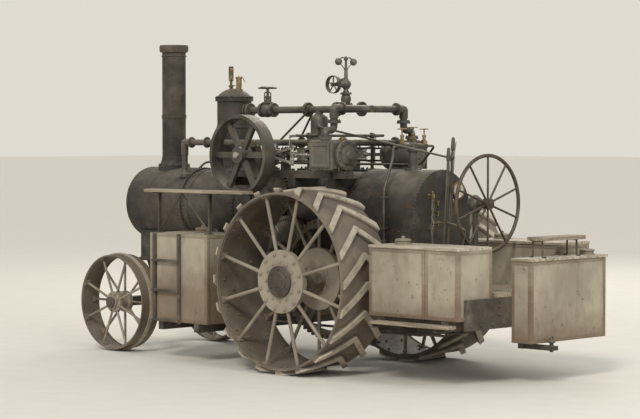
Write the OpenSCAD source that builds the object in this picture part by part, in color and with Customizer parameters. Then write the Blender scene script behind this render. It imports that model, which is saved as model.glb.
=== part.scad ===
// Steam traction engine: double cylinder, straight boiler, rear platform between side tanks.
// Forward is +X, left is +Y, up is +Z, and the origin is on the ground under the middle of the engine.
// Places along the engine are given as distances ahead of the drive axle, and heights are above ground.

/* [Overall layout] */
// Distance from the drive axle to the front axle
wheelbase = 3600; // [3580:10:3800]
// How far the tail reaches behind the drive axle
rear_reach = 3000; // [2980:10:3300]
// Width over the outer faces of the drive wheels
overall_w = 3000; // [2960:10:3200]
// Ground to the top of the smokestack
overall_h = 4080; // [3900:10:4400]

/* [Drive wheels] */
// Diameter over the lugs
drive_d = 2240; // [2200:10:2300]
// Height of a lug above the rim
lug_h = 55; // [30:1:60]
// Width of a lug bar
lug_w = 70; // [50:1:90]
// Number of chevron lugs round the rim
lug_count = 20; // [16:1:24]
// How far a chevron's point leads its ends, measured round the rim
lug_lead = 330; // [200:10:380]
// Width of the wheel face
drive_face = 800; // [700:10:820]
// Thickness of the rim plate
drive_rim_t = 22; // [12:1:40]
// Number of spokes in each of the two rows
drive_spokes = 12; // [8:1:14]
// Diameter of a spoke
drive_spoke_d = 45; // [30:1:55]
// Diameter of the hub flanges that hold the spokes
drive_flange_d = 760; // [600:10:800]
// Thickness of a hub flange
drive_flange_t = 70; // [50:1:90]
// Outer diameter of the hub barrel
drive_hub_d = 300; // [260:5:340]
// Diameter of the drive axle
drive_axle_d = 140; // [120:1:160]
// Diameter of the collar that keeps a drive wheel on its axle
drive_collar_d = 380; // [200:5:400]
// Thickness of that collar
drive_collar_t = 24; // [12:1:36]

/* [Final drive gears] */
// Module of the final drive teeth
bull_module = 24; // [22:0.5:24]
// Number of teeth of the bull gear
bull_teeth = 60; // [56:1:60]
// Number of teeth of the bull pinion
pinion_teeth = 12; // [11:1:13]
// Width of the bull gear
bull_w = 110; // [80:1:115]
// Depth of the bull gear's rim under its teeth
bull_rim_t = 50; // [30:1:70]
// Gap between the bull gear and the wheel's inner face
bull_gap = 16; // [10:1:20]
// Diameter of the countershaft
counter_d = 84; // [70:1:100]
// Height of the countershaft above the drive axle
counter_rise = 250; // [220:5:260]
// Play between two meshing teeth, measured along the pitch circle
backlash = 7; // [5:0.5:9]

/* [Front wheels and axle] */
// Diameter of the front wheels over the guide band
front_wheel_d = 1300; // [1200:10:1320]
// Width of a front wheel
front_wheel_w = 300; // [220:10:320]
// Width of the guide band round the middle of the rim
guide_band_w = 50; // [30:1:80]
// Height of the guide band
guide_band_h = 22; // [10:1:30]
// Thickness of the front rim plate
front_rim_t = 16; // [10:1:30]
// Number of spokes in each of the two rows
front_spokes = 8; // [6:1:10]
// Diameter of a front spoke
front_spoke_d = 32; // [24:1:40]
// Distance between the middles of the front wheels
front_track = 1800; // [1700:10:1900]
// Outer diameter of the front hub
front_hub_d = 190; // [160:5:220]
// Height of the square axle beam
front_beam = 120; // [90:5:140]
// Diameter of the front wheel spindles
spindle_d = 76; // [60:1:90]
// Diameter of the kingpin
kingpin_d = 80; // [60:1:100]
// Diameter of the turntable on which the axle swivels
turntable_d = 280; // [240:5:320]

/* [Boiler] */
// Diameter of the boiler barrel
barrel_d = 920; // [880:5:940]
// Height of the boiler's centre line
boiler_z = 1950; // [1940:5:1990]
// Distance of the firebox front behind the drive axle
firebox_front = 200; // [190:5:240]
// Length of the firebox
firebox_l = 1100; // [1000:10:1110]
// Width of the firebox
firebox_w = 1000; // [960:5:1010]
// Height of the firebox bottom
firebox_z = 720; // [680:5:740]
// Thickness of the firebox walls
firebox_wall = 60; // [40:1:90]
// Distance of the smokebox's rear end ahead of the drive axle
smokebox_start = 2880; // [2840:5:2920]
// Length of the smokebox
smokebox_l = 1080; // [1000:10:1140]
// Diameter of the smokebox
smokebox_d = 960; // [940:5:980]
// Thickness of the smokebox plates
smokebox_wall = 14; // [8:1:24]
// Diameter of the smokebox door
smoke_door_d = 720; // [640:5:760]
// Thickness of the smokebox door
smoke_door_t = 26; // [16:1:36]
// Width of the bands round the barrel
band_w = 60; // [40:1:80]
// Thickness of the bands round the barrel
band_t = 6; // [3:0.5:8]

/* [Stack and dome] */
// Distance of the stack's centre ahead of the drive axle
stack_ahead = 3520; // [3450:5:3560]
// Outer diameter of the stack
stack_d = 320; // [280:5:360]
// Thickness of the stack plate
stack_wall = 10; // [6:1:20]
// Outer diameter of the stack's cap band
stack_cap_d = 384; // [340:2:420]
// Height of the stack's cap band
stack_cap_h = 90; // [60:5:130]
// Distance of the steam dome's centre ahead of the drive axle
dome_ahead = 2330; // [2250:5:2400]
// Diameter of the steam dome
dome_d = 450; // [400:5:480]
// Height of the top of the steam dome
dome_top = 3480; // [3400:5:3520]
// Height of the tip of the whistle on the dome
whistle_top = 3770; // [3740:5:3800]

/* [Engine] */
// Distance of the crankshaft ahead of the drive axle
crank_ahead = 1110; // [1090:5:1130]
// Height of the crankshaft
crank_z = 2620; // [2610:5:2640]
// Diameter of the crankshaft
crank_d = 84; // [70:1:96]
// Distance of each cylinder's centre line from the middle
cylinder_y = 630; // [630:1:635]
// Length of a cylinder without its heads
cylinder_l = 400; // [360:5:420]
// Outer diameter of a cylinder
cylinder_d = 320; // [280:5:330]
// Distance of the cylinders' front end ahead of the drive axle
cylinder_front = 100; // [80:5:120]
// Stroke of the pistons
stroke = 250; // [220:5:260]
// Distance between the two ends of a connecting rod
con_rod_l = 560; // [540:5:580]
// Diameter of the flywheel
flywheel_d = 1000; // [900:10:1020]
// Width of the flywheel's rim
flywheel_w = 180; // [140:5:190]
// Distance of the flywheel's inner face from the middle
flywheel_y = 930; // [925:5:950]
// Number of flywheel arms
flywheel_arms = 6; // [5:1:8]
// Height of the main steam pipe
steam_pipe_z = 3190; // [3150:5:3250]
// Outer diameter of the main steam pipe
steam_pipe_d = 90; // [70:1:110]
// Distance of the governor ahead of the drive axle
governor_ahead = 300; // [260:5:340]
// Height of the top of the governor
governor_top = 3850; // [3780:5:3900]

/* [Platform and tanks] */
// Height of the deck's top
deck_z = 1070; // [1060:5:1120]
// Thickness of the deck planks
deck_t = 50; // [30:1:60]
// Distance of each side rail from the middle, to its inner face
rail_y = 500; // [500:1:520]
// Width of a side rail
rail_w = 60; // [40:1:60]
// Height of a side rail
rail_h = 240; // [180:5:260]
// Height of the cross beams under the side tanks
cross_h = 110; // [80:5:130]
// Outer face of the side tanks, from the middle
side_tank_y = 1200; // [1150:5:1250]
// Inner face of the side tanks, from the middle
side_tank_in = 610; // [600:5:640]
// Distance of the side tanks' front end behind the drive axle
side_tank_start = 1220; // [1200:5:1240]
// Distance of the side tanks' rear end behind the drive axle
side_tank_end = 2570; // [2500:5:2575]
// Height of the top of the side tanks
side_tank_top = 1570; // [1500:5:1650]
// Distance from the drive axle back to the joint between left tank and tool box
tool_box_start = 2080; // [2000:5:2120]
// Thickness of the tank lids and of the tool box walls
lid_t = 30; // [15:1:40]
// Height of the underside of the rear tank
rear_tank_z = 490; // [450:5:550]
// Height of the top of the rear tank
rear_tank_top = 1430; // [1380:5:1480]
// Right edge of the rear tank, from the middle
rear_tank_right = 1100; // [1050:5:1150]
// Left edge of the rear tank, from the middle
rear_tank_left = 300; // [250:5:400]
// Height of the top of the plank seat
seat_z = 1700; // [1650:5:1750]
// Outer face of the front tanks, from the middle
front_tank_y = 1300; // [1250:5:1350]
// Inner face of the front tanks, from the middle
front_tank_in = 620; // [600:5:650]
// Distance of the front tanks' rear end ahead of the drive axle
front_tank_start = 1450; // [1420:5:1480]
// Length of the front tanks
front_tank_l = 1070; // [1000:5:1080]
// Height of the underside of the front tanks
front_tank_z = 500; // [480:5:540]
// Height of the top of the front tanks
front_tank_top = 1620; // [1600:5:1640]
// Height of the top of the running boards
running_z = 2180; // [2150:5:2200]
// Inner edge of the running boards, from the middle
running_in = 1140; // [1130:5:1150]
// Outer edge of the running boards, from the middle
running_out = 1340; // [1330:5:1380]

/* [Drawbar] */
// Thickness of the drawbar
drawbar_t = 50; // [30:1:60]
// Diameter of the hitch pin hole
hitch_d = 52; // [30:1:60]

/* [Steering] */
// Diameter of the steering wheel
steer_d = 1180; // [1000:10:1200]
// Diameter of the steering wheel's rim
steer_rim_d = 44; // [30:1:56]
// Distance of the steering wheel behind the drive axle
steer_back = 2000; // [1960:5:2040]
// Height of the steering wheel's centre
steer_z = 2060; // [2040:5:2100]
// Number of steering wheel spokes
steer_spokes = 10; // [6:1:12]
// Distance of the chain drum ahead of the drive axle
drum_ahead = 1420; // [1410:5:1430]
// Distance of each steering chain from the middle
chain_y = 400; // [380:5:400]

/* [Hidden] */

// Fineness of round surfaces
$fn = 128;

// Fits: radial play of a running fit, and the gap left where two faces only rest on each other
run_fit = 0.05;
seat_gap = 0.3;
side_play = 1;

// The drive axle's place puts the origin midway between the tail and the front wheels' leading edge
drive_x = (rear_reach - wheelbase - front_wheel_d / 2) / 2;
function ahead(distance) = drive_x + distance;

drive_r = drive_d / 2;
drive_rim_r = drive_r - lug_h;
drive_in = overall_w / 2 - drive_face;
drive_out = overall_w / 2;
drive_z = drive_r;
drive_mid = (drive_in + drive_out) / 2;

front_x = ahead(wheelbase);
front_r = front_wheel_d / 2;
front_z = front_r;

// Involute gear teeth: a flank's points from the base circle out to the tip
pressure_angle = 20;
function involute(base_r, turn) = base_r * [cos(turn) + turn * PI / 180 * sin(turn),
                                            sin(turn) - turn * PI / 180 * cos(turn)];
function involute_turn(base_r, r) = sqrt(pow(max(r, base_r) / base_r, 2) - 1) * 180 / PI;
function involute_lean(base_r, r) = involute_turn(base_r, r) - acos(base_r / max(r, base_r));

module gear_outline(teeth, tooth_module) {
  pitch_r = teeth * tooth_module / 2;
  base_r = pitch_r * cos(pressure_angle);
  tip_r = pitch_r + 0.85 * tooth_module;
  root_r = pitch_r - 1.2 * tooth_module;
  tooth_half = 90 / teeth - backlash / 2 / pitch_r * 90 / PI;
  lean = involute_lean(base_r, pitch_r);
  flank = [for (step = [0, 0.5, 1]) max(root_r, base_r) + step * (tip_r - max(root_r, base_r))];
  polygon([
    for (tooth = [0 : teeth - 1])
      let (middle = tooth * 360 / teeth)
        for (point = [
          [root_r, middle - tooth_half - lean],
          for (r = flank) [r, middle - tooth_half - lean + involute_lean(base_r, r)],
          for (i = [2, 1, 0]) [flank[i], middle + tooth_half + lean - involute_lean(base_r, flank[i])],
          [root_r, middle + tooth_half + lean]
        ]) point[0] * [cos(point[1]), sin(point[1])]
  ]);
}

// A block between two corners
module block(x, y, z) {
  translate([x[0], y[0], z[0]])
    cube([x[1] - x[0], y[1] - y[0], z[1] - z[0]]);
}

// A round bar along X, Y or Z between two stations, centred on the other two coordinates
module bar_x(d, x, y, z) {
  translate([x[0], y, z])
    rotate([0, 90, 0])
      cylinder(d = d, h = x[1] - x[0]);
}

module bar_y(d, x, y, z) {
  translate([x, y[1], z])
    rotate([90, 0, 0])
      cylinder(d = d, h = y[1] - y[0]);
}

module bar_z(d, x, y, z) {
  translate([x, y, z[0]])
    cylinder(d = d, h = z[1] - z[0]);
}

// A round bar between any two points
module bar_between(d, from, to) {
  run = to - from;
  reach = norm(run);
  translate(from)
    rotate([0, acos(run[2] / reach), atan2(run[1], run[0])])
      cylinder(d = d, h = reach);
}

// A shape turned so that its Z axis lies along +Y
module along_y() {
  rotate([-90, 0, 0])
    children();
}

// The same piece mirrored to the right side
module on_right() {
  mirror([0, 1, 0])
    children();
}

/* Boiler */
barrel_r = barrel_d / 2;
smokebox_r = smokebox_d / 2;
firebox_start = ahead(-firebox_front - firebox_l);
firebox_x = ahead(-firebox_front);
firebox_r = firebox_w / 2;
smokebox_x = ahead(smokebox_start);
smokebox_end = smokebox_x + smokebox_l;
band_places = [280, 1000, 1900, 2780];

module boiler_barrel() {
  color("#2b2825") {
    bar_x(barrel_d, [firebox_x, smokebox_x], 0, boiler_z);
    for (place = band_places)
      bar_x(barrel_d + 2 * band_t, [ahead(place) - band_w / 2, ahead(place) + band_w / 2], 0, boiler_z);
  }
}

// The smokebox door hangs on a pin at its left edge
smoke_hinge_side = 40;
smoke_hinge_out = 24;
smoke_hinge_y = smoke_door_d / 2 + smoke_hinge_side;
smoke_pin_d = 22;
smoke_hinge_x = smokebox_end + smoke_hinge_out;
hinge_leaf_h = 60;
hinge_places = [-150, 150];
smoke_ring_t = 30;

ear_t = 16;
// Ears above and below each knuckle, with the pin through them
module hinge_ears(x, y, z, places, leaf_h, pin_d, from_x) {
  for (dz = places) {
    bar_z(pin_d, x, y, [z + dz - leaf_h / 2 - side_play - ear_t, z + dz + leaf_h / 2 + side_play + ear_t]);
    for (side = [-1, 1])
      translate([0, 0, z + dz + side * (leaf_h / 2 + side_play + ear_t / 2)])
        block([min(from_x, x - sign(from_x - x) * 14), max(from_x, x - sign(from_x - x) * 14)], [y - 14, y + 14],
              [-ear_t / 2, ear_t / 2]);
  }
}

module smokebox() {
  color("#1f1d1b") {
    hinge_ears(smoke_hinge_x, smoke_hinge_y, boiler_z, hinge_places, hinge_leaf_h, smoke_pin_d, smokebox_end - 5);
    difference() {
      bar_x(smokebox_d, [smokebox_x, smokebox_end], 0, boiler_z);
      bar_x(smokebox_d - 2 * smokebox_wall, [smokebox_x + smoke_ring_t, smokebox_end - smoke_ring_t], 0, boiler_z);
      bar_x(smoke_door_d - 80, [smokebox_end - smoke_ring_t - 1, smokebox_end + 1], 0, boiler_z);
      bar_z(stack_d - 2 * stack_wall, ahead(stack_ahead), 0, [boiler_z, boiler_z + smokebox_d]);
    }
  }
}

module smokebox_door() {
  color("#262320") {
    difference() {
      union() {
        bar_x(smoke_door_d, [smokebox_end + seat_gap, smokebox_end + seat_gap + smoke_door_t], 0, boiler_z);
        bar_x(120, [smokebox_end + seat_gap, smokebox_end + 50], 0, boiler_z);
        for (dz = hinge_places)
          block([smokebox_end + 10, smoke_hinge_x + 10], [smoke_door_d / 2 - 60, smoke_hinge_y],
                [boiler_z + dz - hinge_leaf_h / 2, boiler_z + dz + hinge_leaf_h / 2]);
        for (dz = hinge_places)
          bar_z(46, smoke_hinge_x, smoke_hinge_y,
                [boiler_z + dz - hinge_leaf_h / 2, boiler_z + dz + hinge_leaf_h / 2]);
      }
      bar_z(smoke_pin_d + 2 * run_fit, smoke_hinge_x, smoke_hinge_y, [boiler_z - 300, boiler_z + 300]);
    }
  }
}

stack_x = ahead(stack_ahead);
stack_foot_z = boiler_z + sqrt(pow(smokebox_r, 2) - pow(stack_d / 2, 2));
module smokestack() {
  color("#211f1d")
    difference() {
      union() {
        bar_z(stack_d, stack_x, 0, [stack_foot_z - 60, overall_h]);
        bar_z(stack_d + 110, stack_x, 0, [boiler_z + smokebox_r - 70, boiler_z + smokebox_r + 24]);
        bar_z(stack_cap_d, stack_x, 0, [overall_h - stack_cap_h, overall_h]);
      }
      bar_z(stack_d - 2 * stack_wall, stack_x, 0, [boiler_z, overall_h + 1]);
      bar_x(smokebox_d + 2 * seat_gap, [smokebox_x - 10, smokebox_end + 10], 0, boiler_z);
    }
}

fire_door_w = 380;
fire_door_h = 300;
fire_door_z = 1330;
fire_door_t = 24;
fire_hinge_side = 30;
fire_hinge_out = 25;
fire_hinge_y = fire_door_w / 2 + fire_hinge_side;
fire_pin_d = 20;
fire_hinge_x = firebox_start - fire_hinge_out;
fire_hinge_places = [-90, 90];
fire_leaf_h = 40;

module firebox_section() {
  translate([boiler_z, 0])
    circle(r = firebox_r);
  translate([firebox_z, -firebox_r])
    square([boiler_z - firebox_z, firebox_w]);
}

module firebox() {
  color("#2b2825") {
    hinge_ears(fire_hinge_x, fire_hinge_y, fire_door_z, fire_hinge_places, fire_leaf_h, fire_pin_d, firebox_start + 5);
    difference() {
      translate([firebox_x, 0, 0])
        rotate([0, -90, 0])
          linear_extrude(height = firebox_l)
            firebox_section();
      block([firebox_start + firebox_wall, firebox_x - firebox_wall],
            [-firebox_r + firebox_wall, firebox_r - firebox_wall],
            [firebox_z - 1, boiler_z - 100]);
      block([firebox_start - 1, firebox_start + firebox_wall + 1],
            [-fire_door_w / 2 + 20, fire_door_w / 2 - 20],
            [fire_door_z - fire_door_h / 2 + 20, fire_door_z + fire_door_h / 2 - 20]);
    }
  }
}

module fire_door() {
  color("#3a332c")
    difference() {
      union() {
        block([firebox_start - seat_gap - fire_door_t, firebox_start - seat_gap],
              [-fire_door_w / 2, fire_door_w / 2],
              [fire_door_z - fire_door_h / 2, fire_door_z + fire_door_h / 2]);
        for (dz = fire_hinge_places)
          block([fire_hinge_x - 10, firebox_start - 8], [fire_door_w / 2 - 60, fire_hinge_y],
                [fire_door_z + dz - fire_leaf_h / 2, fire_door_z + dz + fire_leaf_h / 2]);
        for (dz = fire_hinge_places)
          bar_z(40, fire_hinge_x, fire_hinge_y,
                [fire_door_z + dz - fire_leaf_h / 2, fire_door_z + dz + fire_leaf_h / 2]);
      }
      bar_z(fire_pin_d + 2 * run_fit, fire_hinge_x, fire_hinge_y, [fire_door_z - 200, fire_door_z + 200]);
    }
}

ash_pan_z = 470;
module ash_pan() {
  color("#26221f")
    difference() {
      translate([firebox_start + 60, 0, 0])
        rotate([90, 0, 90])
          linear_extrude(height = firebox_l - 120)
            polygon([[-firebox_r + 20, firebox_z], [-firebox_r + 160, ash_pan_z],
                     [firebox_r - 160, ash_pan_z], [firebox_r - 20, firebox_z]]);
      translate([firebox_start + 80, 0, 0])
        rotate([90, 0, 90])
          linear_extrude(height = firebox_l - 160)
            polygon([[-firebox_r + 40, firebox_z + 1], [-firebox_r + 175, ash_pan_z + 12],
                     [firebox_r - 175, ash_pan_z + 12], [firebox_r - 40, firebox_z + 1]]);
    }
}

dome_x = ahead(dome_ahead);
dome_r = dome_d / 2;
dome_crown = 110;
crown_r = (pow(dome_r, 2) + pow(dome_crown, 2)) / (2 * dome_crown);
module steam_dome() {
  color("#2e2a26") {
    difference() {
      union() {
        bar_z(dome_d, dome_x, 0, [boiler_z + barrel_r - 90, dome_top - dome_crown]);
        bar_z(dome_d + 120, dome_x, 0, [boiler_z + barrel_r - 130, boiler_z + barrel_r + 30]);
        bar_z(dome_d + 50, dome_x, 0, [dome_top - dome_crown - 60, dome_top - dome_crown - 20]);
        translate([dome_x, 0, dome_top - dome_crown])
          rotate_extrude()
            intersection() {
              translate([0, dome_crown - crown_r])
                circle(r = crown_r);
              square([dome_r, dome_crown]);
            }
      }
      bar_x(barrel_d + 2 * seat_gap, [dome_x - dome_d, dome_x + dome_d], 0, boiler_z);
    }
    bar_z(70, dome_x - 90, 0, [dome_top - dome_crown, dome_top + 150]);
    bar_z(34, dome_x + 60, 0, [dome_top - dome_crown, whistle_top - 120]);
    bar_z(60, dome_x + 60, 0, [whistle_top - 150, whistle_top]);
  }
}

governor_x = ahead(governor_ahead);
throttle_x = ahead(1700);
cylinder_x = ahead(cylinder_front);
cylinder_mid = cylinder_x - cylinder_l / 2;
steam_branch_x = cylinder_mid;
chest_top = 3000;
module steam_pipe() {
  color("#2e2a26") {
    bar_x(steam_pipe_d, [steam_branch_x - steam_pipe_d / 2, dome_x - dome_r - seat_gap], 0, steam_pipe_z);
    bar_x(170, [dome_x - dome_r - 30, dome_x - dome_r - seat_gap], 0, steam_pipe_z);
    translate([throttle_x, 0, steam_pipe_z])
      sphere(d = 190);
    bar_z(34, throttle_x, 0, [steam_pipe_z, 3470]);
    bar_y(30, throttle_x, [-110, 110], 3480);
    bar_y(steam_pipe_d, steam_branch_x, [-cylinder_y, cylinder_y], steam_pipe_z);
    for (side = [-1, 1])
      bar_z(steam_pipe_d, steam_branch_x, side * cylinder_y, [chest_top, steam_pipe_z]);
  }
}

module governor() {
  color("#35302b") {
    bar_z(150, governor_x, 0, [steam_pipe_z + steam_pipe_d / 2 + seat_gap, steam_pipe_z + 150]);
    bar_z(50, governor_x, 0, [steam_pipe_z + 100, governor_top - 40]);
    bar_y(50, governor_x, [-130, 130], governor_top - 25);
    for (side = [-1, 1])
      translate([governor_x, side * 130, governor_top - 60])
        sphere(d = 84);
    bar_x(46, [governor_x, governor_x + 260], 0, steam_pipe_z + 340);
    bar_x(220, [governor_x + 200, governor_x + 250], 0, steam_pipe_z + 340);
  }
}

/* Engine */
crank_x = ahead(crank_ahead);
head_t = 40;
guide_start = cylinder_x + head_t;
crosshead_half = 65;
crosshead_mid = crank_x - con_rod_l;
guide_end = crosshead_mid + stroke / 2 + crosshead_half + 20;
guide_low = crank_z - 66;
guide_top = crank_z + 66 + 24;
bed_top = boiler_z + barrel_r + 20;
bed_t = 90;
bed_in = cylinder_y - 70;
bed_out = cylinder_y + 70;
bed_start = cylinder_x - cylinder_l - 60;
bed_end = crank_x + 590;
saddle_places = [-120, 560, 1640];
saddle_l = 120;
module boiler_saddles() {
  color("#2b2825")
    for (place = saddle_places)
      difference() {
        block([ahead(place) - saddle_l / 2, ahead(place) + saddle_l / 2], [-bed_out, bed_out],
              [bed_top - bed_t - 110, bed_top - bed_t]);
        bar_x(barrel_d + 2 * seat_gap, [ahead(place) - saddle_l, ahead(place) + saddle_l], 0, boiler_z);
      }
}

bearing_w = 90;
bearing_out_y = cylinder_y + 190;
bearing_in_y = cylinder_y - 240;
module engine_bed_side() {
  difference() {
    union() {
      block([bed_start, bed_end], [bed_in, bed_out], [bed_top - bed_t, bed_top]);
      block([crank_x - 130, crank_x + 130], [bed_out - 20, bearing_out_y + bearing_w / 2],
            [bed_top - bed_t, bed_top]);
      block([crank_x - 90, crank_x + 90], [bearing_out_y - bearing_w / 2, bearing_out_y + bearing_w / 2],
            [bed_top - 10, crank_z + 90]);
      block([guide_end - 60, guide_end], [cylinder_y - 60, cylinder_y + 60], [bed_top - 10, guide_top]);
      block([guide_start, guide_end], [cylinder_y - 40, cylinder_y + 40], [guide_low - 24, guide_low]);
      block([guide_start, guide_end], [cylinder_y - 40, cylinder_y + 40], [guide_top - 24, guide_top]);
    }
    bar_y(crank_d + 2 * run_fit, crank_x, [bearing_out_y - 80, bearing_out_y + 80], crank_z);
    block([guide_end - 70, guide_end + 10], [cylinder_y - 36, cylinder_y + 36],
          [guide_low, guide_top - 24]);
  }
}

module engine_bed_left() {
  color("#35302b")
    engine_bed_side();
}

module engine_bed_right() {
  color("#35302b")
    on_right()
      engine_bed_side();
}

module cylinder_side() {
  bar_x(cylinder_d, [cylinder_x - cylinder_l, cylinder_x], cylinder_y, crank_z);
  for (end = [cylinder_x - cylinder_l - head_t, cylinder_x])
    bar_x(cylinder_d + 50, [end, end + head_t], cylinder_y, crank_z);
  block([cylinder_x - cylinder_l + 40, cylinder_x - 40], [cylinder_y - 70, cylinder_y + 70],
        [bed_top, crank_z]);
  block([cylinder_x - cylinder_l + 50, cylinder_x - 50], [cylinder_y - 130, cylinder_y + 130],
        [crank_z + 60, chest_top]);
  bar_x(100, [cylinder_x - cylinder_l - head_t - 50, cylinder_x - cylinder_l], cylinder_y, crank_z);
}

module cylinder_left() {
  color("#4a443d")
    cylinder_side();
}

module cylinder_right() {
  color("#4a443d")
    on_right()
      cylinder_side();
}

module motion_side() {
  bar_x(44, [cylinder_x + head_t, crosshead_mid - crosshead_half], cylinder_y, crank_z);
  bar_x(50, [crosshead_mid + crosshead_half, crank_x - crank_d / 2 - seat_gap], cylinder_y, crank_z);
  block([crosshead_mid - crosshead_half, crosshead_mid + crosshead_half], [cylinder_y - 34, cylinder_y + 34],
        [guide_low + seat_gap, guide_top - 24 - seat_gap]);
}

module motion_left() {
  color("#8d8981")
    motion_side();
}

module motion_right() {
  color("#8d8981")
    on_right()
      motion_side();
}

crank_end = flywheel_y + flywheel_w + 30;
web_t = 32;
pin_l = 70;
module crankshaft() {
  color("#7b766e") {
    bar_y(crank_d, crank_x, [-bearing_out_y - bearing_w, crank_end], crank_z);
  }
}

module flywheel() {
  color("#2a2724")
    translate([crank_x, flywheel_y, crank_z])
      along_y()
        difference() {
          union() {
            difference() {
              cylinder(d = flywheel_d, h = flywheel_w);
              translate([0, 0, -1])
                cylinder(d = flywheel_d - 90, h = flywheel_w + 2);
            }
            cylinder(d = 200, h = flywheel_w);
            for (arm = [0 : flywheel_arms - 1])
              rotate([0, 0, arm * 360 / flywheel_arms])
                translate([80, -35, flywheel_w / 2 - 25])
                  cube([flywheel_d / 2 - 100, 70, 50]);
          }
          translate([0, 0, -1])
            cylinder(d = crank_d + 2 * run_fit, h = flywheel_w + 2);
        }
}

/* Final drive and rear axle */
bull_in = drive_in - bull_gap - bull_w;
bull_pitch_r = bull_teeth * bull_module / 2;
pinion_pitch_r = pinion_teeth * bull_module / 2;
counter_reach = bull_pitch_r + pinion_pitch_r;
counter_x = drive_x + sqrt(pow(counter_reach, 2) - pow(counter_rise, 2));
counter_z = drive_z + counter_rise;
counter_angle = asin(counter_rise / counter_reach);

train_w = 70;
train_y = 475;
train_module = 14;
idler_teeth = 50;
crank_teeth = 20;
idler_x = crank_x + 40;
idler_r = idler_teeth * train_module / 2;
crank_pinion_r = crank_teeth * train_module / 2;
idler_z = crank_z - sqrt(pow(idler_r + crank_pinion_r, 2) - pow(idler_x - crank_x, 2));
diff_gear_r = sqrt(pow(idler_x - counter_x, 2) + pow(idler_z - counter_z, 2)) - idler_r;
housing_d = 130;
housing_y = 455;
module gear_train() {
  color("#3d3833") {
    bar_y(2 * idler_r, idler_x, [train_y, train_y + train_w], idler_z);
    difference() {
      union() {
        bar_y(2 * diff_gear_r - 2, counter_x, [train_y, train_y + train_w], counter_z);
        bar_y(housing_d, counter_x, [-housing_y, train_y + 1], counter_z);
        block([counter_x - 60, counter_x + 60], [-220, 220], [counter_z, boiler_z - barrel_r + 100]);
      }
      bar_y(counter_d + 2 * run_fit, counter_x, [-housing_y - 1, train_y + train_w + 1], counter_z);
      bar_x(barrel_d + 2 * seat_gap, [counter_x - 100, counter_x + 100], 0, boiler_z);
    }
    bar_y(60, idler_x, [idler_pad_y, train_y + train_w + 10], idler_z);
    difference() {
      block([idler_x - 70, idler_x + 70], [300, idler_pad_y + 20], [idler_z - 70, idler_z + 70]);
      bar_x(barrel_d + 2 * seat_gap, [idler_x - 100, idler_x + 100], 0, boiler_z);
    }
  }
}
idler_pad_y = 445;

hub_in = bull_in - 6;
// How deep a spoke sits in its flange
spoke_seat = 50;
flange_inset = 2 * drive_collar_t;

module drive_wheel() {
  flange_places = [flange_inset, drive_face - flange_inset - drive_flange_t];
  row_places = [for (place = flange_places) place + drive_flange_t / 2];
  translate([drive_x, drive_in, drive_z])
    along_y()
      difference() {
        union() {
          difference() {
            cylinder(r = drive_rim_r, h = drive_face);
            translate([0, 0, -1])
              cylinder(r = drive_rim_r - drive_rim_t, h = drive_face + 2);
          }
          for (row = [0, 1])
            translate([0, 0, row_places[row]])
              for (spoke = [0 : drive_spokes - 1])
                rotate([0, 90, (spoke + row / 2) * 360 / drive_spokes])
                  translate([0, 0, drive_flange_d / 2 - spoke_seat])
                    cylinder(d = drive_spoke_d, h = drive_rim_r - drive_rim_t / 2 - drive_flange_d / 2 + spoke_seat);
          for (place = flange_places)
            translate([0, 0, place])
              cylinder(d = drive_flange_d, h = drive_flange_t);
          translate([0, 0, hub_in - drive_in])
            cylinder(d = drive_hub_d, h = drive_out - hub_in - flange_inset);
          chevron_lugs();
        }
        translate([0, 0, hub_in - drive_in - 1])
          cylinder(d = drive_axle_d + 2 * run_fit, h = drive_out - hub_in + 2);
      }
}

// Chevron lugs: two bars each, cut to the rim's curve
lug_angle = atan2(lug_lead, drive_face / 2);
module chevron_lugs() {
  bar_l = drive_face / 2 / cos(lug_angle) + lug_w;
  intersection() {
    difference() {
      cylinder(r = drive_r, h = drive_face);
      translate([0, 0, -1])
        cylinder(r = drive_rim_r - drive_rim_t / 2, h = drive_face + 2);
    }
    for (lug = [0 : lug_count - 1])
      rotate([0, 0, lug * 360 / lug_count])
        translate([drive_rim_r, 0, drive_face / 2])
          for (side = [0, 1])
            mirror([0, 0, side])
              rotate([lug_angle, 0, 0])
                translate([-60, -lug_w / 2, -lug_w / 4])
                  cube([150, lug_w, bar_l]);
  }
}

module drive_wheel_left() {
  color("#6b6053")
    drive_wheel();
}

module drive_wheel_right() {
  color("#6b6053")
    on_right()
      drive_wheel();
}

module bull_gear() {
  inner_r = bull_pitch_r - 1.2 * bull_module - bull_rim_t;
  translate([drive_x, bull_in, drive_z])
    along_y()
      difference() {
        union() {
          linear_extrude(height = bull_w)
            difference() {
              gear_outline(bull_teeth, bull_module);
              circle(r = inner_r);
            }
          cylinder(d = drive_hub_d + 120, h = bull_w);
          for (arm = [0 : 5])
            rotate([0, 0, arm * 60])
              translate([drive_hub_d / 2 + 20, -35, bull_w / 2 - 25])
                cube([inner_r - drive_hub_d / 2, 70, 50]);
        }
        translate([0, 0, -1])
          cylinder(d = drive_hub_d + 2 * run_fit, h = bull_w + 2);
      }
}

module bull_gear_left() {
  color("#5a5148")
    bull_gear();
}

module bull_gear_right() {
  color("#5a5148")
    on_right()
      bull_gear();
}

// A gap of the pinion faces the tooth of the bull gear that lies nearest the line of centres
pinion_turn = 180 - counter_angle * (1 + bull_teeth / pinion_teeth) + 180 / pinion_teeth;
counter_in = 90;
module bull_pinion() {
  translate([counter_x, 0, counter_z]) {
    translate([0, bull_in, 0])
      along_y()
        rotate([0, 0, pinion_turn])
          linear_extrude(height = bull_w)
            gear_outline(pinion_teeth, bull_module);
    bar_y(counter_d, 0, [counter_in, bull_in + 1], 0);
  }
}

module bull_pinion_left() {
  color("#5a5148")
    bull_pinion();
}

module bull_pinion_right() {
  color("#5a5148")
    on_right()
      bull_pinion();
}

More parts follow.
